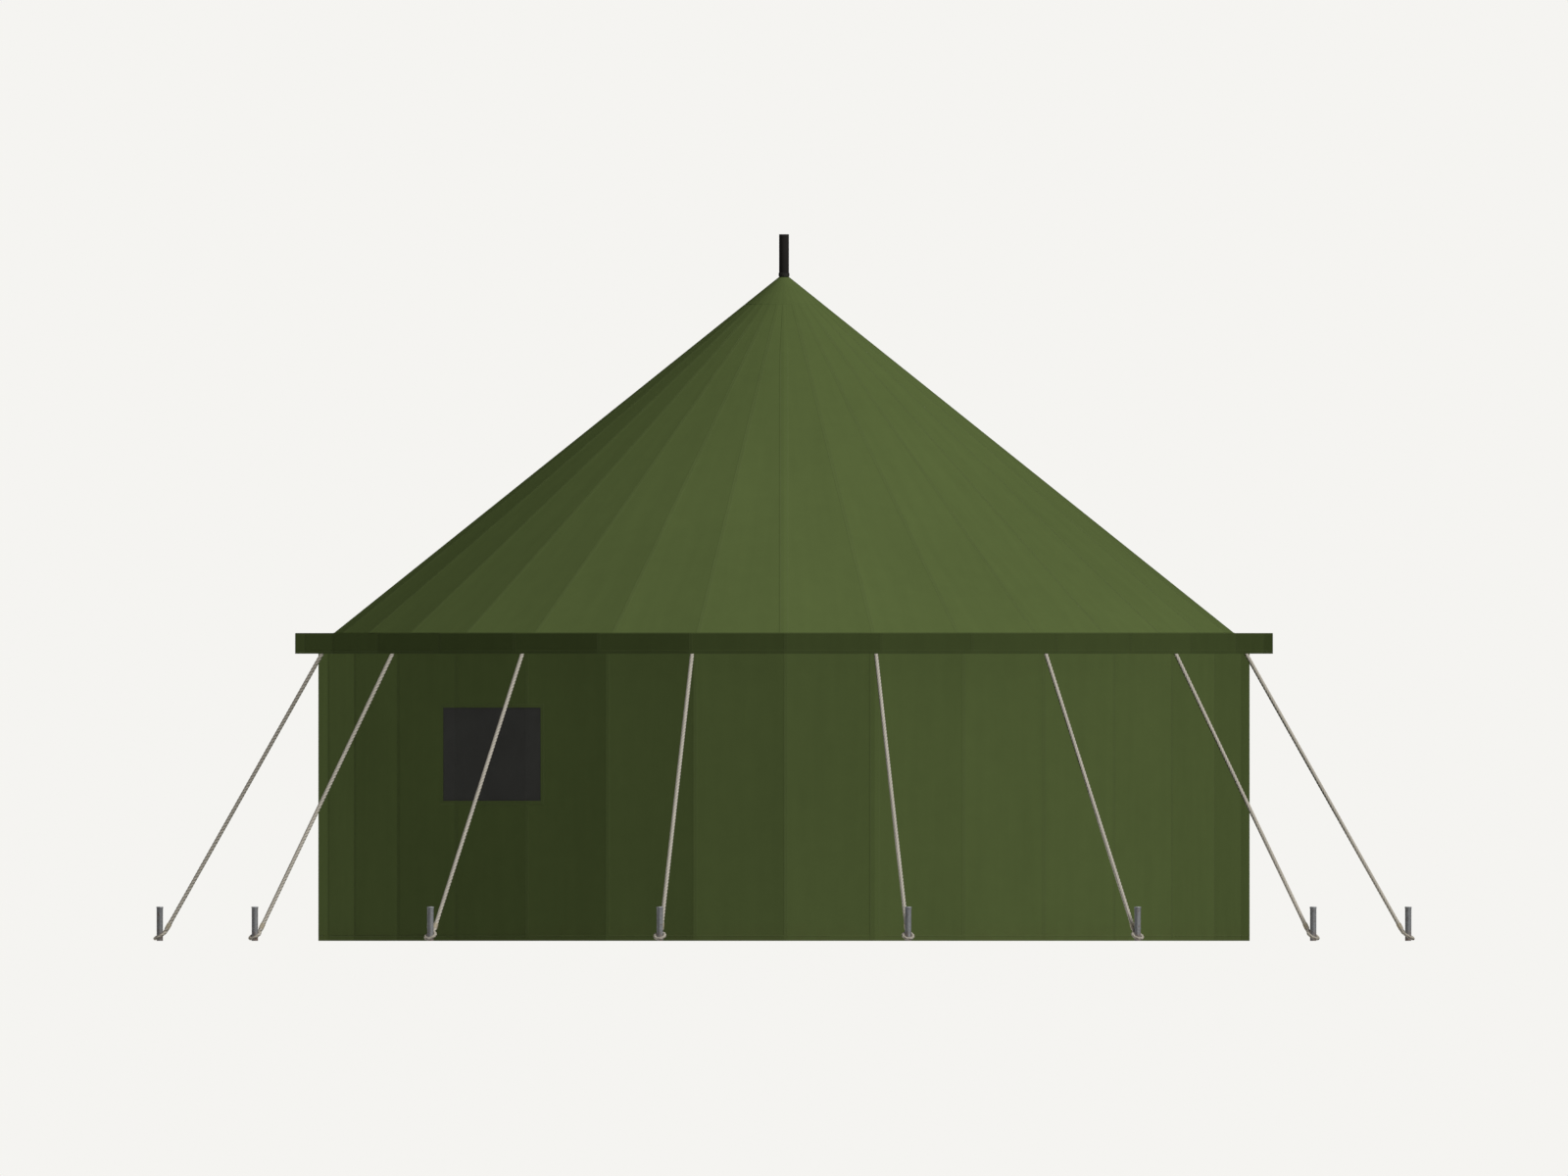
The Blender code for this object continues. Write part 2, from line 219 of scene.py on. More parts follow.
# Lacing: loops from eyelets in the wall's hem over the roof's edge. A loop has two half widths.
LACING_SHARES = (-0.75, -0.45, -0.15, 0.15, 0.45, 0.75)
LACING_LEAN = (0.87, 0.493)
LACING_HALVES = (0.0425, 0.018)
LACING_GIRTH = 0.0028
LACING_INSET = 0.020
LACING_RISE = 0.0075
WALL_EYELET = (0.0088, 0.0088)
WALL_EYELET_GIRTH = 0.0029
WALL_EYELET_INSET = 0.001
WALL_EYELET_DROP = 0.030
SPIKE_EYELET = (0.0165, 0.0165)
SPIKE_EYELET_GIRTH = 0.0032
SPIKE_EYELET_RISE = 0.001

# Each sun's azimuth, its elevation and the softness of its edge, in degrees.
KEY_SUN = (41.0, 45.0, 50.0)
LEFT_SUN = (-117.0, -45.0, 30.0)
BACK_SUN = (180.0, 8.0, 40.0)
SUN_DISTANCE = 20
CAMERA_DISTANCE = 60.0
CAMERA_REACH = 200.0
PIXELS_WIDE = 1600
PIXELS_A_METRE = 95
FLOOR_DROP = 0.001

# Seeds for what is drawn at random. Each piece adds its own number.
ROOF_SEED = 11
WALL_SEED = 41
BAND_SEED = 71
STAKE_SEED = 200

# Colours of the small parts.
TARRED = (0.022, 0.021, 0.017)
BRASS = (0.3, 0.24, 0.11)
RUST = (0.125, 0.066, 0.036)


class CanvasSettings(bpy.types.PropertyGroup):
    """Cloth, seams and stitches"""

    colour: bpy.props.FloatVectorProperty(
        name="Canvas",
        description="Colour of the roof and the walls",
        default=(0.0690, 0.0930, 0.0300), subtype="COLOR", min=0.0, max=1.0,
    )
    band_shade: bpy.props.FloatProperty(
        name="Band Shade",
        description="How dark the eave band's canvas is beside the roof's",
        default=0.65, subtype="FACTOR", min=0.1, max=1.0,
    )
    thread: bpy.props.FloatVectorProperty(
        name="Thread",
        description="Colour of the stitching",
        default=(0.085, 0.105, 0.042), subtype="COLOR", min=0.0, max=1.0,
    )
    screen: bpy.props.FloatVectorProperty(
        name="Window Screen",
        description="Colour of the window's mesh cloth",
        default=(0.044, 0.044, 0.040), subtype="COLOR", min=0.0, max=1.0,
    )
    thickness: bpy.props.FloatProperty(
        name="Thickness",
        description="Thickness of one layer of canvas",
        default=0.0025, unit="LENGTH", min=0.0005, max=0.004,
    )
    seam_width: bpy.props.FloatProperty(
        name="Seam Width",
        description="Width of the felled seam between two cloths",
        default=0.038, unit="LENGTH", min=0.01, max=0.08,
    )
    seam_rise: bpy.props.FloatProperty(
        name="Seam Rise",
        description="How far a seam or hem stands above the cloth",
        default=0.0012, unit="LENGTH", min=0.0, max=0.003,
    )
    roof_sag: bpy.props.FloatProperty(
        name="Roof Sag",
        description="How far a roof cloth hangs in between its seams, at the eave",
        default=0.008, unit="LENGTH", min=0.0, max=0.02,
    )
    wall_sag: bpy.props.FloatProperty(
        name="Wall Sag",
        description="How far a wall cloth draws in between its seams",
        default=0.005, unit="LENGTH", min=0.0, max=0.02,
    )
    stitch_pitch: bpy.props.FloatProperty(
        name="Stitch Pitch",
        description="From one stitch to the next",
        default=0.025, unit="LENGTH", min=0.008, max=0.1,
    )


class RiggingSettings(bpy.types.PropertyGroup):
    """Guy ropes"""

    rope: bpy.props.FloatVectorProperty(
        name="Rope",
        description="Colour of the laid rope",
        default=(0.412, 0.380, 0.322), subtype="COLOR", min=0.0, max=1.0,
    )
    twine: bpy.props.FloatVectorProperty(
        name="Twine",
        description="Colour of the whippings",
        default=(0.36, 0.32, 0.24), subtype="COLOR", min=0.0, max=1.0,
    )
    girth: bpy.props.FloatProperty(
        name="Rope Radius",
        description="Radius of a guy rope over its strands",
        default=0.0226, unit="LENGTH", min=0.005, max=0.03,
    )
    lay: bpy.props.FloatProperty(
        name="Lay",
        description="Length of rope in which a strand goes once round",
        default=0.125, unit="LENGTH", min=0.05, max=0.5,
    )
    ring_spacing: bpy.props.FloatProperty(
        name="Ring Spacing",
        description="From one ring of the rope's mesh to the next",
        default=0.0104, unit="LENGTH", min=0.004, max=0.05,
    )


class PoleSettings(bpy.types.PropertyGroup):
    """Poles and stakes"""

    paint: bpy.props.FloatVectorProperty(
        name="King Pole Paint",
        description="Colour of the painted king pole",
        default=(0.0172, 0.0160, 0.0145), subtype="COLOR", min=0.0, max=1.0,
    )
    zinc: bpy.props.FloatVectorProperty(
        name="Zinc",
        description="Colour of the galvanised side poles",
        default=(0.33, 0.35, 0.36), subtype="COLOR", min=0.0, max=1.0,
    )
    steel: bpy.props.FloatVectorProperty(
        name="Stake Steel",
        description="Colour of the stakes",
        default=(0.200, 0.205, 0.208), subtype="COLOR", min=0.0, max=1.0,
    )


class StageSettings(bpy.types.PropertyGroup):
    """Floor, lights and camera"""

    pale: bpy.props.FloatVectorProperty(
        name="Backdrop",
        description="Colour of the floor and of what lies behind",
        default=(0.913, 0.905, 0.879), subtype="COLOR", min=0.0, max=1.0,
    )
    floor_radius: bpy.props.FloatProperty(
        name="Floor Radius",
        description="Radius of the round floor",
        default=24.0, unit="LENGTH", min=8.0, max=40.0,
    )
    key_strength: bpy.props.FloatProperty(
        name="Key Light",
        description="Strength of the soft key light from the front right",
        default=4.37, min=0.0, max=20.0,
    )
    fill_share: bpy.props.FloatProperty(
        name="Left Fill",
        description="The low fill from the left, as a share of the key light",
        default=0.74, subtype="FACTOR", min=0.0, max=2.0,
    )
    back_share: bpy.props.FloatProperty(
        name="Back Fill",
        description="The fill on the far side, as a share of the key light",
        default=0.25, subtype="FACTOR", min=0.0, max=2.0,
    )
    ambient: bpy.props.FloatProperty(
        name="Ambient",
        description="Even light from all round",
        default=0.02, min=0.0, max=2.0,
    )
    frame_width: bpy.props.FloatProperty(
        name="Frame Width",
        description="Width that the camera takes in, seen square on with parallel lines",
        default=PIXELS_WIDE / PIXELS_A_METRE, unit="LENGTH", min=10.0, max=40.0,
    )
    camera_height: bpy.props.FloatProperty(
        name="Camera Height",
        description="Height of the level camera above the ground",
        default=3.79, unit="LENGTH", min=0.1, max=8.0,
    )


# Nodes


def opaque(colour):
    """A colour with its fourth part. What comes from another node stays as it is."""
    return colour if isinstance(colour, bpy.types.NodeSocket) else (*colour, 1.0)


def toned(colour, *factors):
    """Each part of a colour times its factor, up to 1. A single factor is for all three."""
    factors = factors if len(factors) == 3 else factors * 3
    return tuple(min(1.0, part * factor) for part, factor in zip(colour, factors))


class Nodes:
    """Short ways to add nodes to one tree."""

    def __init__(self, tree):
        self.tree = tree

    def give(self, socket, value):
        """A value for an input, or a link to it where the value is another node's output."""
        if isinstance(value, bpy.types.NodeSocket):
            self.tree.links.new(value, socket)
        else:
            socket.default_value = value

    def add(self, kind, inputs=None, **settings):
        """The outputs of a new node, made with these settings and given these inputs."""
        made = self.tree.nodes.new(kind)
        for name, value in settings.items():
            setattr(made, name, value)
        for key, value in (inputs or {}).items():
            self.give(made.inputs[key], value)
        return made.outputs

    def maths(self, operation, first, second=0.0):
        return self.add("ShaderNodeMath", {0: first, 1: second}, operation=operation)[0]

    def vector(self, operation, inputs):
        return self.add("ShaderNodeVectorMath", inputs, operation=operation)["Vector"]

    def product(self, *values):
        total = values[0]
        for value in values[1:]:
            total = self.maths("MULTIPLY", total, value)
        return total

    def split(self, vector):
        """A vector's three parts."""
        parts = self.add("ShaderNodeSeparateXYZ", {"Vector": vector})
        return parts["X"], parts["Y"], parts["Z"]

    def upright(self, height):
        """A vector straight up of this height."""
        return self.add("ShaderNodeCombineXYZ", {"Z": height})["Vector"]


class Finish(Nodes):
    """A material in the making, with its shader's inputs and its Object coordinates."""

    def __init__(self, name, metallic=0.0, specular=0.5):
        self.material = bpy.data.materials.new(name)
        self.material.use_nodes = True
        super().__init__(self.material.node_tree)
        self.shader = self.tree.nodes["Principled BSDF"].inputs
        self.shader["Metallic"].default_value = metallic
        self.shader["Specular IOR Level"].default_value = specular
        self.place = self.add("ShaderNodeTexCoord")["Object"]

    def attribute(self, name, part="Fac"):
        return self.add("ShaderNodeAttribute", attribute_name=name)[part]

    def noise(self, scale, detail=2.0, roughness=0.5, where=None):
        """Cloudy noise over the surface, or over other coordinates."""
        inputs = {
            "Vector": where or self.place,
            "Scale": scale,
            "Detail": detail,
            "Roughness": roughness,
        }
        return self.add("ShaderNodeTexNoise", inputs)["Fac"]

    def grain(self, where, scale, detail=2.0, roughness=0.5):
        """Noise over coordinates times a scale for each axis."""
        where = self.add("ShaderNodeMapping", {"Vector": where, "Scale": scale})["Vector"]
        return self.noise(1.0, detail, roughness, where)

    def height(self):
        """The height above the ground."""
        return self.split(self.place)[2]

    def cells(self, scale, part):
        """One output of a pattern of cells, so many to a metre."""
        return self.add("ShaderNodeTexVoronoi", {"Vector": self.place, "Scale": scale})[part]

    def spread(self, value, start, end, low=0.3, high=0.7):
        """From start to end as the value goes from low to high, and no further."""
        inputs = {"Value": value, "From Min": low, "From Max": high, "To Min": start, "To Max": end}
        return self.add("ShaderNodeMapRange", inputs)["Result"]

    def mixed(self, share, first, second, blend="MIX"):
        """From the first colour to the second by a share."""
        inputs = {0: share, 6: opaque(first), 7: opaque(second)}
        return self.add("ShaderNodeMix", inputs, data_type="RGBA", blend_type=blend)[2]

    def shaded(self, colour, *shades):
        """A colour times shades that vary over the surface."""
        return self.mixed(1.0, colour, self.product(*shades), "MULTIPLY")

    def weave(self, along, across, yarn):
        """Height of a plain weave, where warp and weft pass over each other in turn."""
        turn = math.pi / yarn
        waves = [self.maths("SINE", self.product(way, turn)) for way in (across, along)]
        return self.spread(self.product(*waves), 0.0, 1.0, -1.0, 1.0)

    def done(self, colour, roughness, bump=None):
        """The finished material. Bump is a height from 0 to 1, its distance and its strength."""
        self.give(self.shader["Base Color"], colour)
        self.give(self.shader["Roughness"], roughness)
        if bump:
            height, distance, strength = bump
            inputs = {"Strength": strength, "Distance": distance, "Height": height}
            self.give(self.shader["Normal"], self.add("ShaderNodeBump", inputs)["Normal"])
        return self.material


# Finishes


def canvas_finish(name, colour):
    """Proofed cotton duck: weave, slubs, weather streaks, earth splashed up from the ground, and
    painted shade in the ditch along each seam.
    """
    finish = Finish(name, specular=0.0)
    cloth = finish.add("ShaderNodeUVMap", uv_map="cloth")["UV"]
    seam = finish.attribute("seam")
    across, along, _ = finish.split(cloth)
    weave = finish.weave(along, across, DUCK_PITCH)
    slubs = finish.grain(cloth, (420.0, 38.0, 1.0))
    streaks = finish.grain(cloth, (7.0, 0.45, 1.0), 4.0, 0.6)
    height = finish.height()
    splash = finish.product(
        finish.spread(height, 1.0, 0.0, 0.0, 0.22),
        finish.spread(finish.noise(9.0, 4.0, 0.65), 0.1, 0.42, 0.35, 0.7),
    )
    earth = toned(colour, 0.92, 0.74, 0.8)
    shown = finish.shaded(
        finish.mixed(splash, colour, earth),
        finish.spread(finish.noise(0.42, 3.0), 0.965, 1.035),
        finish.spread(finish.noise(5.5, 4.0, 0.6), 0.972, 1.028, 0.25, 0.75),
        finish.spread(streaks, 0.968, 1.03),
        finish.spread(slubs, 0.95, 1.05, 0.25, 0.75),
        finish.spread(weave, 0.95, 1.05, 0.0, 1.0),
        # Painted shade: the cloth is darker within 6 mm of a seam, where the seam's ditch would be in
        # shade.
        finish.spread(seam, 0.95, 1.0, 0.0, 0.006),
    )
    rough = finish.spread(finish.noise(3.0), 0.88, 0.96)
    return finish.done(shown, rough, (finish.maths("ADD", weave, slubs), 0.00045, 0.6))


def screen_finish(name, colour):
    """Coated mesh cloth: round yarns, with painted shade in the holes between them for the dark
    inside seen through.
    """
    finish = Finish(name, specular=0.05)
    across, along, _ = finish.split(finish.add("ShaderNodeUVMap", uv_map="cloth")["UV"])
    turn = math.pi / SCREEN_PITCH
    bars = [
        finish.maths("ABSOLUTE", finish.maths("SINE", finish.product(way, turn)))
        for way in (across, along)
    ]
    hole = finish.product(*bars)
    shown = finish.shaded(
        colour,
        # Painted shade: the holes are darker, as the unlit inside of the tent would show through
        # them.
        finish.spread(hole, 1.12, 0.72, 0.2, 0.8),
        finish.spread(finish.noise(3.0, 3.0), 0.93, 1.07),
    )
    rough = finish.spread(finish.noise(40.0), 0.68, 0.84)
    return finish.done(shown, rough, (finish.spread(hole, 1.0, 0.0, 0.2, 0.8), 0.0006, 0.5))


def thread_finish(name, colour):
    """Waxed thread or braided cord, with a fuzz of short fibres."""
    finish = Finish(name, specular=0.25)
    fuzz = finish.noise(900.0)
    shown = finish.shaded(
        colour,
        finish.spread(fuzz, 0.86, 1.12, 0.25, 0.75),
        finish.spread(finish.noise(2.5), 0.94, 1.06),
    )
    return finish.done(shown, finish.spread(fuzz, 0.72, 0.9), (fuzz, 0.0003, 0.4))


def rope_finish(name, colour):
    """Natural laid rope: yarns and fibres along it, painted shade in the grooves between the strands,
    and soiled at the foot.
    """
    finish = Finish(name, specular=0.1)
    fibre = finish.attribute("fibre", "Vector")
    groove = finish.attribute("groove")
    x, y, _ = finish.split(fibre)
    wander = finish.grain(fibre, (1.5, 1.5, 4.0))
    wander = finish.spread(wander, -0.14, 0.14, 0.0, 1.0)
    angle = finish.maths("ADD", finish.maths("ARCTAN2", y, x), wander)
    yarn = finish.maths("COSINE", finish.product(angle, YARNS / 2))
    yarn = finish.spread(finish.maths("ABSOLUTE", yarn), 0.0, 1.0, 0.0, 0.85)
    hairs = finish.grain(fibre, (26.0, 26.0, 30.0), 4.0, 0.65)
    bundles = finish.grain(fibre, (5.0, 5.0, 4.0))
    height = finish.height()
    soil = finish.product(
        finish.spread(height, 0.8, 0.0, 0.02, 0.20),
        finish.spread(finish.noise(18.0, 3.0), 0.3, 1.0),
    )
    mud = toned(colour, 0.62, 0.60, 0.56)
    shown = finish.shaded(
        finish.mixed(soil, colour, mud),
        finish.spread(hairs, 0.80, 1.17),
        finish.spread(yarn, 0.86, 1.03, 0.0, 1.0),
        finish.spread(bundles, 0.92, 1.07),
        # Painted shade: darker down in the grooves between the strands.
        finish.spread(groove, 1.05, 0.74, 0.0, 1.0),
        finish.spread(finish.noise(1.8, 3.0), 0.94, 1.05),
    )
    relief = finish.maths("ADD", yarn, finish.product(hairs, 0.9))
    return finish.done(shown, finish.spread(hairs, 0.82, 0.96), (relief, 0.0009, 0.6))


def paint_finish(name, colour):
    """Brushed black enamel on steel tube, rubbed to grey in small chips."""
    finish = Finish(name, specular=0.0)
    brush = finish.grain(finish.place, (60.0, 60.0, 3.0), 3.0)
    chips = finish.spread(finish.noise(26.0, 5.0, 0.7), 0.0, 1.0, 0.7, 0.74)
    painted = finish.shaded(
        colour,
        finish.spread(brush, 0.88, 1.12),
        finish.spread(finish.noise(4.0, 3.0), 0.92, 1.08),
    )
    shown = finish.mixed(chips, painted, toned(colour, 2.6))
    return finish.done(shown, finish.spread(brush, 0.42, 0.6), (brush, 0.0004, 0.35))


def zinc_finish(name, colour):
    """Hot-dip galvanising: a patchwork of dull and bright spangles."""
    finish = Finish(name, metallic=0.6)
    spangle = finish.add("ShaderNodeSeparateColor", {"Color": finish.cells(55.0, "Color")})["Red"]
    shown = finish.shaded(
        colour,
        finish.spread(spangle, 0.86, 1.12, 0.0, 1.0),
        finish.spread(finish.noise(3.0, 3.0), 0.93, 1.05),
    )
    rough = finish.spread(spangle, 0.38, 0.6, 0.0, 1.0)
    return finish.done(shown, rough, (finish.noise(160.0), 0.0002, 0.3))


def stake_finish(name, colour):
    """Rolled steel gone grey: mill scale, rust spots, scratches and a bright beaten head."""
    finish = Finish(name, metallic=0.25)
    height = finish.height()
    scale = finish.noise(42.0, 6.0, 0.7)
    grain = finish.noise(330.0, 3.0, 0.6)
    drawn = finish.grain(finish.place, (190.0, 190.0, 5.0), 3.0)
    beaten = finish.spread(height, 0.0, 1.0, STAKE_HEIGHT - BEATEN_DEPTH, STAKE_HEIGHT - 0.010)
    dents = finish.product(finish.cells(95.0, "Distance"), beaten)
    spots = finish.spread(finish.noise(27.0, 5.0, 0.75), 0.0, 0.75, 0.57, 0.66)
    ground = finish.product(
        finish.spread(height, 0.8, 0.0, 0.02, 0.14),
        finish.spread(finish.noise(30.0, 4.0, 0.7), 0.0, 1.0, 0.40, 0.58),
    )
    rust = finish.maths("MAXIMUM", spots, ground)
    rust = finish.product(rust, finish.spread(beaten, 1.0, 0.35, 0.0, 1.0))
    bare = finish.shaded(
        colour,
        finish.spread(scale, 0.80, 1.16),
        finish.spread(grain, 0.93, 1.07),
        finish.spread(drawn, 0.92, 1.08),
        finish.spread(beaten, 1.0, 1.22, 0.0, 1.0),
    )
    brown = finish.shaded(RUST, finish.spread(grain, 0.7, 1.3))
    rough = finish.maths("ADD", finish.spread(scale, 0.46, 0.64), finish.product(rust, 0.25))
    relief = finish.maths("ADD", scale, finish.product(rust, 0.5))
    relief = finish.maths("SUBTRACT", relief, finish.product(dents, 1.4))
    return finish.done(finish.mixed(rust, bare, brown), rough, (relief, 0.0014, 0.7))


def eyelet_finish(name, colour):
    """Dull rolled brass."""
    finish = Finish(name, metallic=0.7)
    tarnish = finish.noise(70.0, 4.0, 0.6)
    shown = finish.shaded(colour, finish.spread(tarnish, 0.7, 1.1))
    return finish.done(shown, finish.spread(tarnish, 0.38, 0.6), (tarnish, 0.0002, 0.3))


def floor_finish(name, colour):
    """A pale seamless floor with a hardly visible mottle."""
    finish = Finish(name, specular=0.0)
    mottle = finish.spread(finish.noise(0.5), 0.995, 1.005)
    return finish.done(finish.shaded(colour, mottle), 1.0)


def finish_of(maker, name, colour):
    """A finish by name, made when it is first asked for."""
    return bpy.data.materials.get(name) or maker(name, tuple(colour))


def canvas_of(context):
    return finish_of(canvas_finish, "olive_duck", context.scene.tent_canvas.colour)


def thread_of(context):
    return finish_of(thread_finish, "olive_thread", context.scene.tent_canvas.thread)


def dark_canvas_of(context):
    settings = context.scene.tent_canvas
    dark = toned(settings.colour, settings.band_shade)
    return finish_of(canvas_finish, "dark_olive_duck", dark)


def dark_cord_of(context):
    settings = context.scene.tent_canvas
    dark = toned(settings.thread, settings.band_shade)
    return finish_of(thread_finish, "dark_olive_cord", dark)


# Meshes and pieces


def tent_point(radius, height, azimuth):
    """A point on a circle of the tent."""
    turn = math.radians(azimuth)
    return Vector((radius * math.sin(turn), -radius * math.cos(turn), height))


def show(name, mesh, finish=None):
    """An object of the mesh at the origin, in the scene."""
    mesh.name = name
    if finish is not None:
        mesh.materials.clear()
        mesh.materials.append(finish)
    made = bpy.data.objects.new(name, mesh)
    bpy.context.scene.collection.objects.link(made)
    return made


def carried(piece, slot, *nodes):
    """The piece rides with the tent and stands for its nodes, which are hidden. The slot is not used.
    """
    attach(piece, BODY)
    if nodes:
        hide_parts(*nodes)
    return piece


def settle(thing):
    """The thing's mesh with its modifiers worked in. The thing itself is removed."""
    bpy.context.view_layer.update()
    graph = bpy.context.evaluated_depsgraph_get()
    mesh = bpy.data.meshes.new_from_object(thing.evaluated_get(graph), depsgraph=graph)
    bpy.data.objects.remove(thing)
    return mesh


def reshaped(mesh, change):
    """The mesh after a change to it as a bmesh."""
    shape = bmesh.new()
    shape.from_mesh(mesh)
    change(shape)
    shape.to_mesh(mesh)
    shape.free()
    return mesh


def outward_faces(mesh):
    """Every face of a closed shell turned outwards."""
    return reshaped(mesh, lambda shape: bmesh.ops.recalc_face_normals(shape, faces=shape.faces))


def smooth(mesh, sharp_from=35.0):
    """The mesh shaded smooth, but for edges sharper than an angle in degrees."""
    mesh.shade_smooth()
    mesh.set_sharp_from_angle(angle=math.radians(sharp_from))
    return mesh


def moved(mesh, matrix):
    copy = mesh.copy()
    copy.transform(matrix)
    return copy


def joined(name, meshes):
    """One mesh of several, with their materials kept."""
    parts = [show(f"{name}_part", mesh) for mesh in meshes]
    with bpy.context.temp_override(
        active_object=parts[0], selected_objects=parts, selected_editable_objects=parts
    ):
        bpy.ops.object.join()
    mesh = parts[0].data
    bpy.data.objects.remove(parts[0])
    mesh.name = name
    return mesh


def turned_mesh(name, profile, sides):
    """A solid of revolution about the upright axis, from (radius, height) points going up."""
    angles = np.arange(sides) * math.tau / sides
    points = [
        (radius * math.cos(angle), radius * math.sin(angle), height)
        for radius, height in profile
        for angle in angles
    ]
    foot, head = len(points), len(points) + 1
    points += [(0.0, 0.0, profile[0][1]), (0.0, 0.0, profile[-1][1])]
    pairs = [(side, (side + 1) % sides) for side in range(sides)]
    last = foot - sides
    faces = [
        (start + a, start + b, start + b + sides, start + a + sides)
        for start in range(0, last, sides)
        for a, b in pairs
    ]
    faces += [(b, a, foot) for a, b in pairs]
    faces += [(last + a, last + b, head) for a, b in pairs]
    mesh = bpy.data.meshes.new(name)
    mesh.from_pydata(points, [], faces)
    return smooth(outward_faces(mesh))


def guy_places(circle=0.0):
    """Each guy's number, and the matrix that turns and carries a front piece to its place."""
    for number in range(GUYS):
        azimuth = FIRST_GUY + number * GUY_STEP
        foot = Matrix.Translation(tent_point(circle, 0, azimuth))
        yield number + 1, foot @ Matrix.Rotation(math.radians(azimuth), 4, "Z")


# Cloth


def half_cloth(radius):
    """Half a cloth's width where its corners lie at radius."""
    return radius * math.sin(HALF_STEP)


def on_cloths(radius, height, middle, across, outward=0.0, upward=0.0, lift=0.0):
    """Points of the ring of flat cloths, lifted along the surface's normal.

    radius is the corner radius, middle the azimuth of the cloth's middle, across the distance
    from there, and outward and upward the normal's two parts. All may be arrays.
    """
    turn = np.radians(middle)
    reach = radius * MIDDLE_SHARE
    x = reach * np.sin(turn) + across * np.cos(turn)
    y = -reach * np.cos(turn) + across * np.sin(turn)
    here = np.arctan2(x, -y)
    x = x + lift * outward * np.sin(here)
    y = y - lift * outward * np.cos(here)
    z = height + lift * upward + np.zeros_like(x)
    return np.stack((x, y, z), axis=-1)


def beside_corner(radius, heights, corner, across, normal, lift):
    """A line down the cloths at a distance to the right of a corner, or below zero to its left."""
    right = np.min(across) >= 0
    half = half_cloth(radius) + 0 * heights
    middle = np.full(len(heights), (corner + (0.5 if right else -0.5)) * STEP)
    return on_cloths(radius, heights, middle, (-half if right else half) + across, *normal, lift)


def cloth_at(azimuths, radius):
    """The middle of the cloth that each azimuth falls on, and the distance from there."""
    middle = (np.floor(azimuths / STEP + 1e-9) + 0.5) * STEP
    return middle, radius * MIDDLE_SHARE * np.tan(np.radians(azimuths - middle))


def sew(name, points, cloth, seam, thickness, finish, missing=None, closed=False):
    """A shell of cloth from a grid of points on its outer side.

    cloth is each point's place on the weave, seam its distance from a seam, and missing marks
    the faces of a hole. A closed grid goes all the way round, so its ends become one column.
    """
    rows, columns = points.shape[:2]
    index = np.arange(rows * columns).reshape(rows, columns)
    corners = (index[:-1, :-1], index[1:, :-1], index[1:, 1:], index[:-1, 1:])
    faces = np.stack(corners, axis=-1)
    faces = faces[~missing] if missing is not None else faces.reshape(-1, 4)
    used, faces = np.unique(faces, return_inverse=True)
    faces = faces.reshape(-1, 4)
    mesh = bpy.data.meshes.new(name)
    mesh.from_pydata(points.reshape(-1, 3)[used].tolist(), [], faces.tolist())
    flat = cloth.reshape(-1, 2)[used]
    layer = mesh.uv_layers.new(name="cloth")
    layer.data.foreach_set("uv", flat[faces.reshape(-1)].astype(np.float32).reshape(-1))
    distances = mesh.attributes.new("seam", "FLOAT", "POINT")
    distances.data.foreach_set("value", seam.reshape(-1)[used].astype(np.float32))
    if closed:
        reshaped(mesh, lambda shape: bmesh.ops.remove_doubles(shape, verts=shape.verts, dist=1e-5))
    thing = show(name, mesh)
    shell = thing.modifiers.new("thickness", "SOLIDIFY")
    shell.thickness = thickness
    shell.offset = -1.0
    shell.use_even_offset = False
    shell.use_rim = True
    mesh = outward_faces(settle(thing))
    return show(name, smooth(mesh, SHARP_CLOTH), finish)


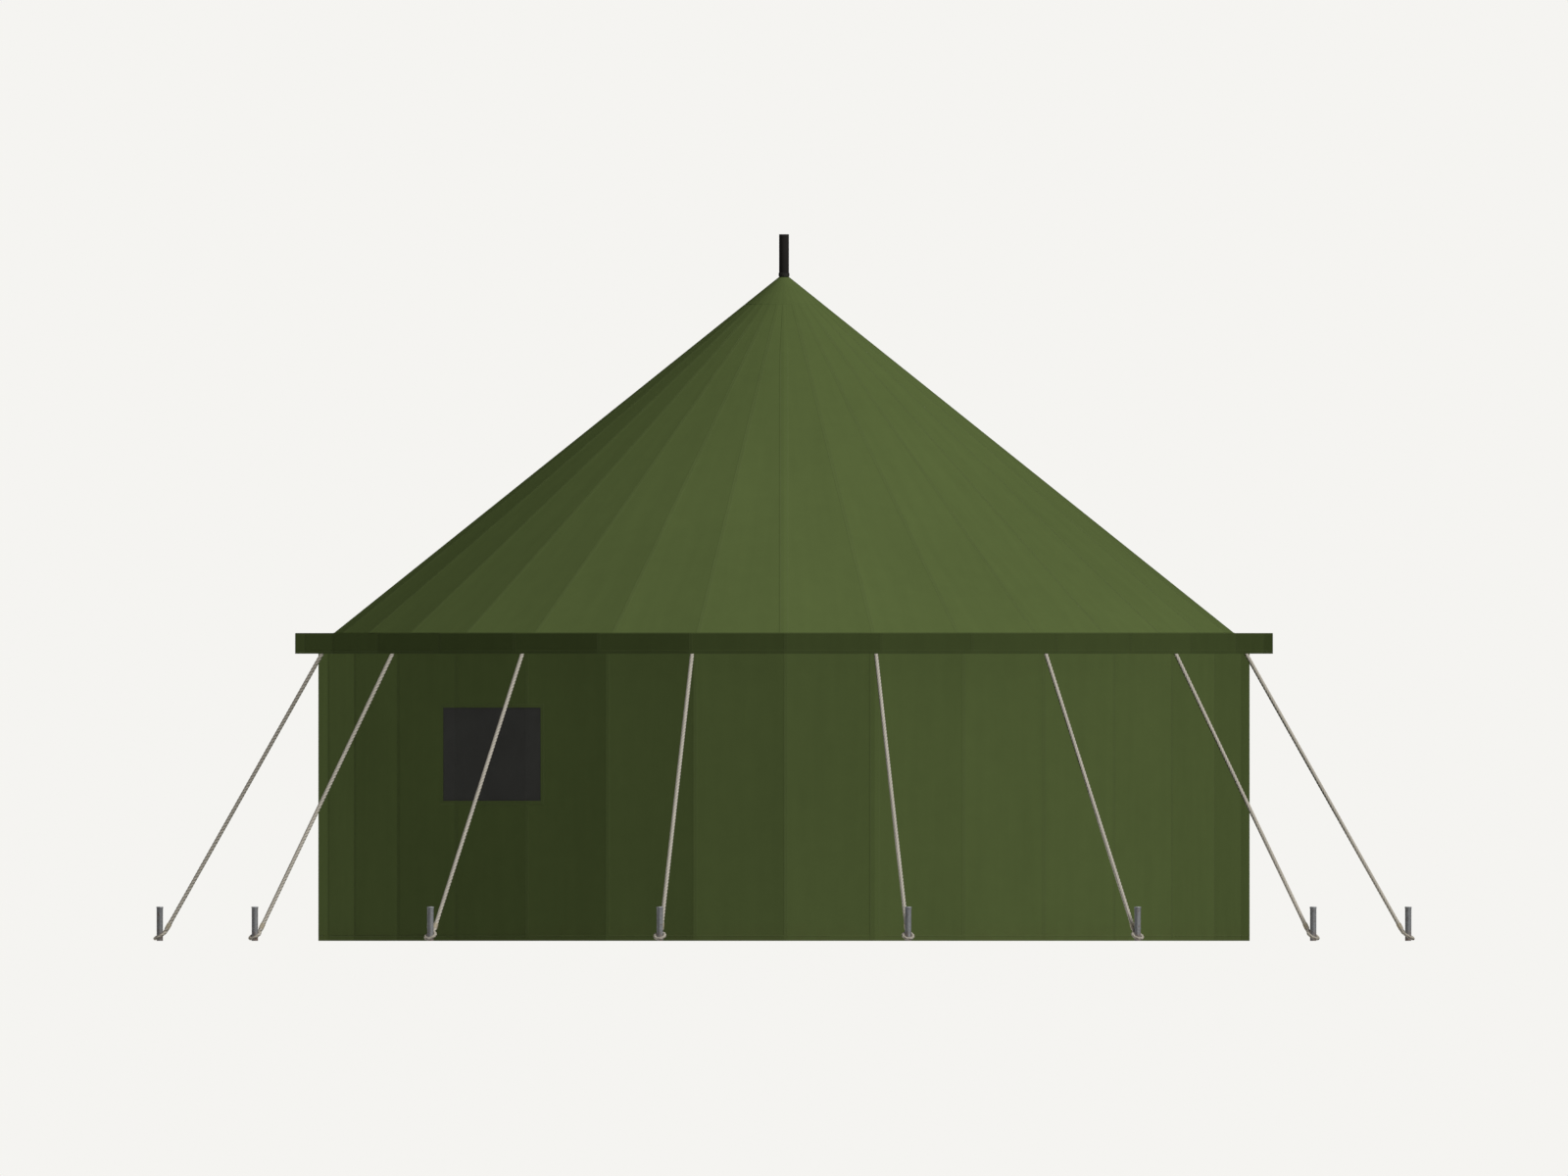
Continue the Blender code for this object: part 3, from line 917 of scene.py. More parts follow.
class Surface:
    """One run of cloths: rows down a profile and columns across each cloth."""

    def __init__(self, radius, height, outward, upward, first_cloth, cloths):
        step = np.hypot(np.diff(radius), np.diff(height))
        along = np.concatenate(([0.0], np.cumsum(step)))
        columns = [part[:, None] for part in (radius, height, outward, upward, along)]
        self.radius, self.height, self.outward, self.upward, self.along = columns
        self.half = half_cloth(self.radius)
        self.first = first_cloth
        self.cloths = cloths

    def columns(self, settings, steps=COLUMNS_A_CLOTH, extra=None):
        """For each column: its cloth, and its distance from that cloth's middle in each row."""
        self.strip = np.minimum(settings.seam_width, 0.6 * self.half)
        edge = np.minimum(SEAM_EDGE, 0.08 * self.half)
        start = -self.half + self.strip + edge
        end = self.half - edge
        cloth_of, across, on_strip = [], [], []
        for cloth in range(self.cloths):
            places = [-self.half, -self.half + self.strip, start]
            places += [start + (end - start) * k / steps for k in range(1, steps + 1)]
            places += [place + 0 * self.half for place in (extra or {}).get(cloth, ())]
            raised = [True, True] + [False] * (len(places) - 2)
            order = sorted(range(len(places)), key=lambda k: float(places[k][-1, 0]))
            across += [places[k] for k in order]
            on_strip += [raised[k] for k in order]
            cloth_of += [cloth] * len(places)
        across.append(self.half - JOINT_GAP)
        on_strip.append(True)
        cloth_of.append(self.cloths - 1)
        across[0] = across[0] + JOINT_GAP
        self.across = np.concatenate(across, axis=1)
        self.cloth = np.array(cloth_of)[None, :]
        self.on_strip = np.array(on_strip)[None, :]
        self.middle = (self.first + self.cloth + 0.5) * STEP

    def share(self):
        """0 at a cloth's middle and 1 at its corners."""
        return np.abs(self.across / self.half)

    def ripples(self, seed, count, wavelength, slant, height):
        """Shallow tension lines that run down the cloths, up to a height."""
        draw = np.random.default_rng(seed)
        total = 0.0
        for _ in range(count):
            length = wavelength * draw.uniform(0.6, 1.7)
            drift = draw.uniform(-slant, slant)
            phase, swell = draw.uniform(0, math.tau, 2)
            slow = 0.6 + 0.4 * np.sin(self.along * draw.uniform(0.7, 1.6) + swell)
            wave = math.tau / length * (self.across + drift * self.along) + phase
            total = total + slow * np.sin(wave)
        return height * (total / count)

    def sewn(self, name, lift, thickness, finish, **more):
        """A shell of the run, lifted from the flat cloths. Each cloth is cut from its own place."""
        normal = (self.outward, self.upward)
        points = on_cloths(self.radius, self.height, self.middle, self.across, *normal, lift)
        u = self.across + self.cloth * PLACE_ON_ROLL[0]
        v = self.along + PLACE_ON_ROLL[1] * self.cloth + 0 * u
        from_corner = self.half - np.abs(self.across)
        from_strip = np.abs(self.across + self.half - self.strip)
        seam = np.minimum(from_corner, from_strip)
        return sew(name, points, np.stack((u, v), axis=-1), seam, thickness, finish, **more)


def sew_flap(name, line, half_width, along, finish):
    """A strip of canvas over a laced joint. line gives a line of it at a distance and a lift."""
    lines = [line(share * half_width, lift) for share, lift in FLAP_SHAPE]
    wide = (half_width + 0 * along)[:, None]
    across = np.array([share for share, _ in FLAP_SHAPE]) * wide
    cloth = np.stack((across, along[:, None] + 0 * across), axis=-1)
    seam = wide - np.abs(across)
    piece = sew(name, np.stack(lines, axis=1), cloth, seam, FLAP_THICKNESS, finish)
    return carried(piece, "olive_canvas")


def seam_rows(settings):
    """How far the two rows of stitches on a seam lie from its corner."""
    return STITCH_INSET, settings.seam_width - STITCH_INSET


# Geometry Nodes


class Plan(Nodes):
    """A Geometry Nodes tree with named inputs: a name, a type and a default for each."""

    def __init__(self, name, inputs):
        super().__init__(bpy.data.node_groups.new(name, "GeometryNodeTree"))
        new_socket = self.tree.interface.new_socket
        new_socket("Geometry", in_out="INPUT", socket_type="NodeSocketGeometry")
        for label, kind, default in inputs:
            socket = new_socket(label, in_out="INPUT", socket_type=f"NodeSocket{kind}")
            socket.default_value = default
        new_socket("Material", in_out="INPUT", socket_type="NodeSocketMaterial")
        new_socket("Geometry", in_out="OUTPUT", socket_type="NodeSocketGeometry")
        self.given = self.add("NodeGroupInput")

    def position(self):
        return self.add("GeometryNodeInputPosition")["Position"]

    def resampled(self, spacing):
        """The given lines as curves, with points at an even spacing."""
        curve = self.add("GeometryNodeMeshToCurve", {"Mesh": self.given["Geometry"]})["Curve"]
        inputs = {"Curve": curve, "Length": spacing}
        return self.add("GeometryNodeResampleCurve", inputs, mode="LENGTH")["Curve"]

    def stored(self, geometry, name, value, kind="FLOAT"):
        """The geometry with a value kept at each point under a name."""
        inputs = {"Geometry": geometry, "Name": name, "Value": value}
        settings = {"data_type": kind, "domain": "POINT"}
        return self.add("GeometryNodeStoreNamedAttribute", inputs, **settings)["Geometry"]

    def kept(self, name, kind="FLOAT"):
        """What was stored under a name."""
        inputs = {"Name": name}
        return self.add("GeometryNodeInputNamedAttribute", inputs, data_type=kind)["Attribute"]

    def set_on(self, points, instance, **inputs):
        """A copy of the instance on each point."""
        inputs = {"Points": points, "Instance": instance, **inputs}
        return self.add("GeometryNodeInstanceOnPoints", inputs)["Instances"]

    def done(self, geometry):
        """The tree, with real geometry in its material as its result."""
        real = self.add("GeometryNodeRealizeInstances", {"Geometry": geometry})["Geometry"]
        inputs = {"Geometry": real, "Material": self.given["Material"]}
        real = self.add("GeometryNodeSetMaterial", inputs)["Geometry"]
        self.add("NodeGroupOutput", {"Geometry": real})
        return self.tree


def cord_plan(name):
    """Lines of edges become laid rope or plain cord, as thick as each point's girth says."""
    inputs = (
        ("Ring Spacing", "Float", 0.01),
        ("Sides", "Int", 18),
        ("Lay", "Float", 0.165),
        ("Strand Depth", "Float", STRAND_DEPTH),
    )
    plan = Plan(name, inputs)
    given = plan.given
    run = plan.add("GeometryNodeSplineParameter")["Length"]
    line = plan.stored(plan.resampled(given["Ring Spacing"]), "run", run)
    turn = plan.maths("DIVIDE", plan.product(run, math.tau), given["Lay"])
    line = plan.add("GeometryNodeSetCurveTilt", {"Curve": line, "Tilt": turn})["Curve"]

    circle = {"Resolution": given["Sides"], "Radius": 1.0}
    ring = plan.add("GeometryNodeCurvePrimitiveCircle", circle, mode="RADIUS")["Curve"]
    place = plan.position()
    ring = plan.stored(ring, "round", place, "FLOAT_VECTOR")
    x, y, _ = plan.split(place)
    angle = plan.product(plan.maths("ARCTAN2", y, x), STRANDS / 2)
    lobe = plan.maths("ABSOLUTE", plan.maths("COSINE", angle))
    dip = plan.maths("SUBTRACT", 1.0, lobe)
    # How deep in a groove between strands each point lies; the rope's finish paints shade there.
    ring = plan.stored(ring, "groove", dip)
    reach = plan.maths("SUBTRACT", 1.0, plan.product(dip, given["Strand Depth"]))
    scaled = plan.vector("SCALE", {0: place, "Scale": reach})
    ring = plan.add("GeometryNodeSetPosition", {"Geometry": ring, "Position": scaled})["Geometry"]

    sweep = {
        "Curve": line,
        "Profile Curve": ring,
        "Scale": plan.kept("girth"),
        "Fill Caps": True,
    }
    tube = plan.add("GeometryNodeCurveToMesh", sweep)["Mesh"]
    length = plan.kept("run")
    laid = plan.maths("DIVIDE", plan.product(length, math.tau), given["Lay"])
    back = {"Vector": plan.kept("round", "FLOAT_VECTOR"), "Angle": laid}
    straight = plan.add("ShaderNodeVectorRotate", back, rotation_type="Z_AXIS")["Vector"]
    fibre = plan.vector("ADD", {0: straight, 1: plan.upright(length)})
    tube = plan.stored(tube, "fibre", fibre, "FLOAT_VECTOR")
    even = {"Geometry": tube, "Shade Smooth": True}
    return plan.done(plan.add("GeometryNodeSetShadeSmooth", even)["Geometry"])


def stitch_plan(name):
    """Lines of edges become rows of short stitches that lie along them."""
    inputs = (
        ("Pitch", "Float", 0.025),
        ("Stitch Size", "Vector", STITCH_SIZE),
        ("Normal Rise", "Float", 0.0),
    )
    plan = Plan(name, inputs)
    line = plan.resampled(plan.given["Pitch"])
    ball = {"Segments": 6, "Rings": 2, "Radius": 1.0}
    stitch = plan.add("GeometryNodeMeshUVSphere", ball)["Mesh"]
    align = "FunctionNodeAlignRotationToVector"
    tangent = plan.add("GeometryNodeInputTangent")["Tangent"]
    heading = plan.add(align, {"Vector": tangent}, axis="X")["Rotation"]
    level = plan.vector("MULTIPLY", {0: plan.position(), 1: (1.0, 1.0, 0.0)})
    level = plan.vector("NORMALIZE", {0: level})
    outward = plan.vector("ADD", {0: level, 1: plan.upright(plan.given["Normal Rise"])})
    facing = {"Rotation": heading, "Vector": outward}
    heading = plan.add(align, facing, axis="Z", pivot_axis="X")["Rotation"]
    return plan.done(
        plan.set_on(line, stitch, Rotation=heading, Scale=plan.given["Stitch Size"])
    )


def set_out_plan(name):
    """A piece made for the front is repeated round the tent at equal angles."""
    inputs = (
        ("Count", "Int", GUYS),
        ("First Angle", "Float", 0.0),
        ("Angle Between", "Float", math.radians(GUY_STEP)),
    )
    plan = Plan(name, inputs)
    given = plan.given
    spots = plan.add("GeometryNodePoints", {"Count": given["Count"]})[0]
    number = plan.add("GeometryNodeInputIndex")["Index"]
    turn = plan.product(number, given["Angle Between"])
    heading = plan.upright(plan.maths("ADD", given["First Angle"], turn))
    rotation = plan.add("FunctionNodeEulerToRotation", {"Euler": heading})["Rotation"]
    return plan.done(plan.set_on(spots, given["Geometry"], Rotation=rotation))


def grown(mesh, name, maker, values):
    """The mesh that a plan makes of this one, with values for the plan's named inputs."""
    plan = bpy.data.node_groups.get(name) or maker(name)
    thing = show("to_grow", mesh)
    modifier = thing.modifiers.new("plan", "NODES")
    modifier.node_group = plan
    sockets = [socket for socket in plan.interface.items_tree if socket.in_out == "INPUT"]
    identifiers = {socket.name: socket.identifier for socket in sockets}
    for label, value in values.items():
        modifier[identifiers[label]] = value
    made = settle(thing)
    for spare in ("run", "round", "girth"):
        if spare in made.attributes:
            made.attributes.remove(made.attributes[spare])
    return made


def lines_mesh(name, lines, girths=None):
    """Edges along each line of points, with the cord's radius at each point."""
    points = np.concatenate([np.asarray(line, float) for line in lines])
    edges, start = [], 0
    for line in lines:
        edges += [(start + k, start + k + 1) for k in range(len(line) - 1)]
        start += len(line)
    mesh = bpy.data.meshes.new(name)
    mesh.from_pydata(points.tolist(), edges, [])
    if girths is not None:
        layer = mesh.attributes.new("girth", "FLOAT", "POINT")
        layer.data.foreach_set("value", np.concatenate(girths).astype(np.float32))
    return mesh


def cord_mesh(name, lines, girths, finish, spacing, sides=8, lay=None):
    """Cords along lines, each with one girth or one for every point. Without a lay they are plain."""
    girths = [np.full(len(line), girth) for line, girth in zip(lines, girths)]
    values = {
        "Ring Spacing": spacing,
        "Sides": sides,
        "Lay": lay or PLAIN_LAY,
        "Strand Depth": STRAND_DEPTH if lay else 0.0,
        "Material": finish,
    }
    return grown(lines_mesh(name, lines, girths), "lay_cord", cord_plan, values)


def stitched(name, lines, settings, finish, slot, rise=0.0):
    """Rows of stitches along the lines, as a piece. Rise is the cloth normal's, over its run."""
    values = {"Pitch": settings.stitch_pitch, "Normal Rise": rise, "Material": finish}
    mesh = grown(lines_mesh(name, lines), "sew_stitches", stitch_plan, values)
    return carried(show(name, mesh, finish), slot)


def set_out(mesh, finish, count, first, between):
    """The mesh repeated round the tent, from a first angle and at angles between, in degrees."""
    values = {
        "Count": count,
        "First Angle": math.radians(first),
        "Angle Between": math.radians(between),
        "Material": finish,
    }
    return grown(mesh, "set_out_round", set_out_plan, values)


# Roof


def roof_height(radius):
    return APEX_HEIGHT - radius / ROOF_RUN_PER_RISE


def roof_surface(first_cloth, cloths, radii):
    normal = [np.full(len(radii), part) for part in ROOF_NORMAL]
    return Surface(radii, roof_height(radii), *normal, first_cloth, cloths)


def roof_line(radii, corner, across, lift):
    """A line down the roof at a distance beside a corner."""
    return beside_corner(radii, roof_height(radii), corner, across, ROOF_NORMAL, lift)


def make_roof_section(number, settings, finish):
    """Eight cloths between two laced joints, hollowed between their seams."""
    section = SECTION_NAMES[number]
    down, edge = np.linspace(0.12, 4.7, 36), np.linspace(4.76, ROOF_EDGE_RADIUS, 4)
    radii = np.concatenate(([ROOF_TOP_RADIUS], down, edge))
    surface = roof_surface(number * CLOTHS_A_SECTION, CLOTHS_A_SECTION, radii)
    surface.columns(settings)
    share = surface.share()
    wide = (surface.half / half_cloth(ROOF_EDGE_RADIUS)) ** 2
    sag = -settings.roof_sag * wide * (1 - share**2)
    ripples = surface.ripples(ROOF_SEED + number, *ROOF_RIPPLES)
    far_ends = 1 - 0.75 * np.sin(np.clip(surface.along / surface.along.max(), 0, 1) * math.pi)
    free = (1 - share**4) * np.clip(surface.half / 0.3, 0, 1) * (0.5 + far_ends)
    lift = sag + ripples * free + settings.seam_rise * surface.on_strip
    piece = surface.sewn(f"roof_canvas_{section}", lift, settings.thickness, finish)
    return carried(piece, "olive_canvas", f"roof_{section}")


def make_roof_flap(number, finish):
    """The strip of canvas that covers a laced joint between two sections."""
    radii = np.linspace(CROWN_PATCH_RADIUS + 0.002, BRIM_INNER_RADIUS - 0.001, 36)
    half_width = np.minimum(ROOF_FLAP_HALF, 0.45 * half_cloth(radii))
    line = partial(roof_line, radii, number * CLOTHS_A_SECTION)
    along = np.arange(len(radii)) * FLAP_ROW_RUN
    return sew_flap(f"roof_joint_flap_{number + 1}", line, half_width, along, finish)


def make_crown_patch(settings, finish):
    """A second layer round the pole, on all thirty-two cloths."""
    edge = CROWN_PATCH_RADIUS
    radii = np.array([*CROWN_PATCH_ROWS, edge - 0.006, edge])
    surface = roof_surface(0, CLOTHS, radii)
    surface.columns(settings, steps=3)
    surface.across[:, 0] -= JOINT_GAP
    surface.across[:, -1] += JOINT_GAP
    lift = np.full(len(radii), CROWN_PATCH_LIFT)
    lift[-1] = FLAP_SHAPE[-1][1]
    lift = lift[:, None] + 0 * surface.across
    piece = surface.sewn("crown_patch", lift, FLAP_THICKNESS, finish, closed=True)
    return carried(piece, "olive_canvas")


def roof_stitch_lines(number, settings):
    """Two rows on every felled seam, and one along each edge of the section's flap."""
    radii = np.linspace(ROOF_STITCH_START, BRIM_INNER_RADIUS - 0.01, 12)
    lift = settings.seam_rise + STITCH_LIFT
    first = number * CLOTHS_A_SECTION
    lines = [
        roof_line(radii, corner, across, lift)
        for corner in range(first + 1, first + CLOTHS_A_SECTION)
        for across in seam_rows(settings)
    ]
    for across in (-ROOF_FLAP_STITCH, ROOF_FLAP_STITCH):
        lines.append(roof_line(radii[1:], first, across, FLAP_STITCH_LIFT))
    return lines


class TENT_OT_sew_roof(bpy.types.Operator):
    """Sew the four roof sections, the flaps over their joints and the crown patch"""

    bl_idname = "tent.sew_roof"
    bl_label = "Sew Roof"

    def execute(self, context):
        settings = context.scene.tent_canvas
        canvas, thread = canvas_of(context), thread_of(context)
        rise = ROOF_RUN_PER_RISE * MIDDLE_SHARE
        patch = make_crown_patch(settings, canvas)
        for number, section in enumerate(SECTION_NAMES):
            piece = make_roof_section(number, settings, canvas)
            flap = make_roof_flap(number, canvas)
            lines = roof_stitch_lines(number, settings)
            name = f"roof_stitches_{section}"
            rows = stitched(name, lines, settings, thread, "olive_canvas", rise)
        return {"FINISHED"}


# Walls


def wall_rows():
    """Heights from the top down, closer at the hems and beside the window's binding."""
    marks = [
        WALL_HEIGHT,
        WALL_HEIGHT - HEAD_HEM,
        WALL_HEIGHT - HEAD_HEM - FOLD,
        WINDOW_HEAD + BINDING + FOLD,
        WINDOW_HEAD + BINDING,
        WINDOW_HEAD,
        WINDOW_SILL,
        WINDOW_SILL - BINDING,
        WINDOW_SILL - BINDING - FOLD,
        FOOT_HEM + FOLD,
        FOOT_HEM,
        0.0,
    ]
    rows = [marks[0]]
    for high, low in zip(marks, marks[1:]):
        parts = max(1, round((high - low) / WALL_ROW_GAP))
        rows += [high + (low - high) * k / parts for k in range(1, parts + 1)]
    return np.array(rows)


def window_marks():
    """Where the window's sides and its binding cross each cloth of the front curtain."""
    reach = WALL_RADIUS * MIDDLE_SHARE
    found = {}
    for side in (-1, 1):
        azimuth = WINDOW_AZIMUTH + side * WINDOW_HALF_ANGLE
        cloth = math.floor((azimuth - FRONT_CURTAIN_START) / STEP)
        middle = FRONT_CURTAIN_START + (cloth + 0.5) * STEP
        edge = reach * math.tan(math.radians(azimuth - middle))
        found[cloth] = [edge, edge + side * BINDING, edge + side * (BINDING + FOLD)]
    return found


def window_parts(surface, rows):
    """The binding's points, the hole's faces, and how freely each point moves, from 0.2 to 1."""
    turned = np.degrees(np.arctan2(surface.across, surface.radius * MIDDLE_SHARE))
    azimuth = surface.middle + turned - (WINDOW_AZIMUTH + 360)
    beside = np.radians(np.abs(azimuth) - WINDOW_HALF_ANGLE) * WALL_RADIUS
    above = np.maximum(rows - WINDOW_HEAD, WINDOW_SILL - rows)[:, None]
    binding = (beside < BINDING + FOLD / 2) & (above < BINDING + FOLD / 2)
    away = np.hypot(np.maximum(beside, 0), np.maximum(above, 0))
    free = np.clip((away - HELD_REACH) / HELD_FADE, 0, 1)
    middles = (azimuth[:-1, :-1] + azimuth[1:, 1:]) / 2
    heights = (rows[:-1] + rows[1:])[:, None] / 2
    hole = (np.abs(middles) < WINDOW_HALF_ANGLE) & (heights < WINDOW_HEAD) & (heights > WINDOW_SILL)
    return binding, hole, HELD_SHARE + (1 - HELD_SHARE) * free * free * (3 - 2 * free)


def make_wall(number, settings, finish):
    """Eight cloths from the ground up, the front one with its bound window."""
    name = CURTAIN_NAMES[number]
    rows = wall_rows()
    ones = np.ones(len(rows))
    first = 1 + number * CLOTHS_A_SECTION
    surface = Surface(WALL_RADIUS * ones, rows, ones, 0 * ones, first, CLOTHS_A_SECTION)
    surface.columns(settings, extra=window_marks() if name == "front" else None)
    share = surface.share()
    free = np.clip((WALL_HEIGHT - rows) / 0.4, 0, 1) * np.clip(rows / 0.25, 0, 1)
    free = free[:, None]
    lift = -settings.wall_sag * (1 - share**2) * (0.35 + 0.65 * free)
    ripples = surface.ripples(WALL_SEED + number, *WALL_RIPPLES)
    lift = lift + ripples * (1 - share**4) * (0.6 + 0.4 * (1 - free))
    hem = (rows < FOOT_HEM + FOLD / 2) | (rows > WALL_HEIGHT - HEAD_HEM - FOLD / 2)
    raised = surface.on_strip | hem[:, None]
    missing = None
    if name == "front":
        binding, missing, freedom = window_parts(surface, rows)
        raised = raised | binding
        lift = lift * freedom
    lift = lift + settings.seam_rise * raised
    thickness = settings.thickness
    piece = surface.sewn(f"wall_canvas_{name}", lift, thickness, finish, missing=missing)
    return carried(piece, "olive_canvas", f"wall_{name}")


def wall_line(corner, heights, across, lift):
    """An upright line on the wall at a distance beside a corner."""
    return beside_corner(WALL_RADIUS, np.array(heights), corner, across, WALL_NORMAL, lift)


def level_line(azimuths, height, lift):
    """A line round the wall at one height, on its flat cloths."""
    middle, across = cloth_at(np.asarray(azimuths, float), WALL_RADIUS)
    return on_cloths(WALL_RADIUS, height, middle, across, *WALL_NORMAL, lift)


def window_stitch_lines(lift):
    """Two rows round the window's binding, turned where they cross a corner between cloths."""
    lines = []
    for outset in (STITCH_INSET, BINDING - STITCH_INSET):
        reach = WINDOW_HALF_ANGLE + math.degrees(outset / WALL_RADIUS)
        left, right = 360 + WINDOW_AZIMUTH - reach, 360 + WINDOW_AZIMUTH + reach
        corners = [corner * STEP for corner in WINDOW_CORNERS if left < corner * STEP < right]
        low, high = WINDOW_SILL - outset, WINDOW_HEAD + outset
        lines += [level_line([left, *corners, right], height, lift) for height in (high, low)]
        for side in (left, right):
            lines.append(np.array([level_line([side], height, lift)[0] for height in (low, high)]))
    return lines


def wall_stitch_lines(number, settings):
    """Two rows on every seam, one along the foot hem, and two round the window."""
    lift = settings.seam_rise + STITCH_LIFT
    first = 1 + number * CLOTHS_A_SECTION
    head, foot = SEAM_STITCH_ENDS
    front = CURTAIN_NAMES[number] == "front"
    whole = [np.linspace(head, foot, 6)]
    gap = WINDOW_STITCH_GAP
    parted = [[head, WINDOW_HEAD + gap], [WINDOW_SILL - gap, foot]]
    lines = [
        wall_line(corner, heights, across, lift)
        for corner in range(first + 1, first + CLOTHS_A_SECTION)
        for across in seam_rows(settings)
        for heights in (parted if front and corner in WINDOW_CORNERS else whole)
    ]
    span = np.arange(first * STEP, (first + CLOTHS_A_SECTION) * STEP + 0.01, STEP / 2)
    lines.append(level_line(span[:-1], FOOT_STITCH, lift))
    return lines + (window_stitch_lines(lift) if front else [])


class TENT_OT_sew_walls(bpy.types.Operator):
    """Sew the four wall curtains, with the window's hole and binding in the front one"""

    bl_idname = "tent.sew_walls"
    bl_label = "Sew Walls"

    def execute(self, context):
        settings = context.scene.tent_canvas
        canvas, thread = canvas_of(context), thread_of(context)
        heights = np.linspace(WALL_HEIGHT, 0.0, 30)
        for number, name in enumerate(CURTAIN_NAMES):
            piece = make_wall(number, settings, canvas)
            corner = 1 + number * CLOTHS_A_SECTION
            line = partial(wall_line, corner, heights)
            joint = f"wall_joint_flap_{number + 1}"
            flap = sew_flap(joint, line, WALL_FLAP_HALF, WALL_HEIGHT - heights, canvas)
            lines = wall_stitch_lines(number, settings)
            for across in (-WALL_FLAP_STITCH, WALL_FLAP_STITCH):
                lines.append(wall_line(corner, heights[1:-1], across, FLAP_STITCH_LIFT))
            rows = stitched(f"wall_stitches_{name}", lines, settings, thread, "olive_canvas")
        return {"FINISHED"}


class TENT_OT_set_window(bpy.types.Operator):
    """Stretch the black mesh cloth in the window"""

    bl_idname = "tent.set_window"
    bl_label = "Set Window"

    def execute(self, context):
        settings = context.scene.tent_canvas
        finish = finish_of(screen_finish, "black_mesh_cloth", settings.screen)
        reach = WINDOW_HALF_ANGLE - math.degrees(JOINT_GAP / WALL_RADIUS)
        azimuths = np.linspace(-reach, reach, 29) + 360 + WINDOW_AZIMUTH
        azimuths = np.sort(np.append(azimuths, [corner * STEP for corner in WINDOW_CORNERS]))
        heights = np.linspace(WINDOW_HEAD - JOINT_GAP, WINDOW_SILL + JOINT_GAP, 21)[:, None]
        middle, across = cloth_at(azimuths[None, :], SCREEN_RADIUS)
        side = 1 - ((azimuths - 360 - WINDOW_AZIMUTH) / WINDOW_HALF_ANGLE) ** 2
        level = 1 - ((heights - (WINDOW_HEAD + WINDOW_SILL) / 2) / (WINDOW_SIZE[1] / 2)) ** 2
        lift = -SCREEN_SAG * np.clip(side, 0, 1)[None, :] * np.clip(level, 0, 1)
        points = on_cloths(SCREEN_RADIUS, heights, middle, across, *WALL_NORMAL, lift)
        u = np.radians(azimuths)[None, :] * SCREEN_RADIUS + 0 * lift
        cloth = np.stack((u, heights + 0 * lift), axis=-1)
        piece = sew("window_mesh", points, cloth, 0 * lift, SCREEN_THICKNESS, finish)
        carried(piece, "black_mesh", "window_screen")
        return {"FINISHED"}


# Eave band


def band_surface(first_cloth):
    """The brim, its rounded rim and the valance, as rows from the roof outwards and down."""
    reach = BAND_RADIUS - RIM_BEND
    rows = [(radius, BAND_TOP, 0.0, 1.0) for radius in np.linspace(BRIM_INNER_RADIUS, reach, 8)]
    for turn in (22.5, 45.0, 67.5, 90.0):
        c, s = math.cos(math.radians(turn)), math.sin(math.radians(turn))
        rows.append((reach + RIM_BEND * s, BAND_TOP - RIM_BEND + RIM_BEND * c, s, c))
    below = [BAND_TOP - 0.05, BAND_TOP - 0.1, BAND_TOP - 0.15, BAND_FOOT + BAND_HEM + FOLD]
    below += [BAND_FOOT + BAND_HEM, BAND_FOOT + BAND_HEM / 2, BAND_FOOT]
    rows += [(BAND_RADIUS, height, 1.0, 0.0) for height in below]
    return Surface(*np.array(rows).T, first_cloth, CLOTHS // 2)


def make_band(name, first_cloth, settings, finish):
    """Half of the band, with its brim hollowed and its valance hanging in shallow folds."""
    surface = band_surface(first_cloth)
    surface.columns(settings)
    share = surface.share()
    out = (surface.radius - BRIM_INNER_RADIUS) / (BAND_RADIUS - BRIM_INNER_RADIUS)
    brim = (surface.upward > 0.99) * np.sin(np.clip(out, 0, 1) * math.pi)
    hanging = np.clip((BAND_TOP - surface.height) / (BAND_TOP - BAND_FOOT), 0, 1)
    ripples = surface.ripples(BAND_SEED + first_cloth, *BAND_RIPPLES)
    lift = -BRIM_SAG * brim * (1 - share**2) - VALANCE_SAG * hanging * (1 - share**2)
    lift = lift + ripples * hanging * (1 - share**4)
    hem = (surface.height < BAND_FOOT + BAND_HEM + FOLD / 2) & (surface.outward > 0.9)
    lift = lift + settings.seam_rise * (surface.on_strip | hem)
    piece = surface.sewn(f"eave_canvas_{name}", lift, settings.thickness, finish)
    piece.visible_shadow = False
    return carried(piece, "dark_olive_canvas", f"eave_band_{name}")


def ring_line(radius, height, first_cloth, inset):
    """The corners of half the ring of cloths, with its ends drawn in by an angle."""
    azimuths = (first_cloth + np.arange(CLOTHS // 2 + 1)) * STEP
    azimuths[0] += inset
    azimuths[-1] -= inset
    return np.array([tent_point(radius, height, azimuth) for azimuth in azimuths])


def band_stitch_lines(first_cloth, settings):
    """Two rows along the hem, one along the roof joint, and two on each seam of the valance."""
    lift = settings.seam_rise + STITCH_LIFT
    rows = (
        (BAND_RADIUS + lift, BAND_FOOT + BAND_HEM - STITCH_INSET),
        (BAND_RADIUS + lift, BAND_FOOT + STITCH_INSET),
        (BRIM_INNER_RADIUS + BRIM_STITCH, BAND_TOP + STITCH_LIFT),
    )
    lines = [ring_line(*row, first_cloth, STITCHES_SHORT) for row in rows]
    heights = np.array([BAND_TOP - VALANCE_STITCH_DROP, BAND_FOOT + BAND_HEM + FOLD])
    lines += [
        beside_corner(BAND_RADIUS, heights, corner, across, WALL_NORMAL, lift)
        for corner in range(first_cloth + 1, first_cloth + CLOTHS // 2)
        for across in seam_rows(settings)
    ]
    return lines


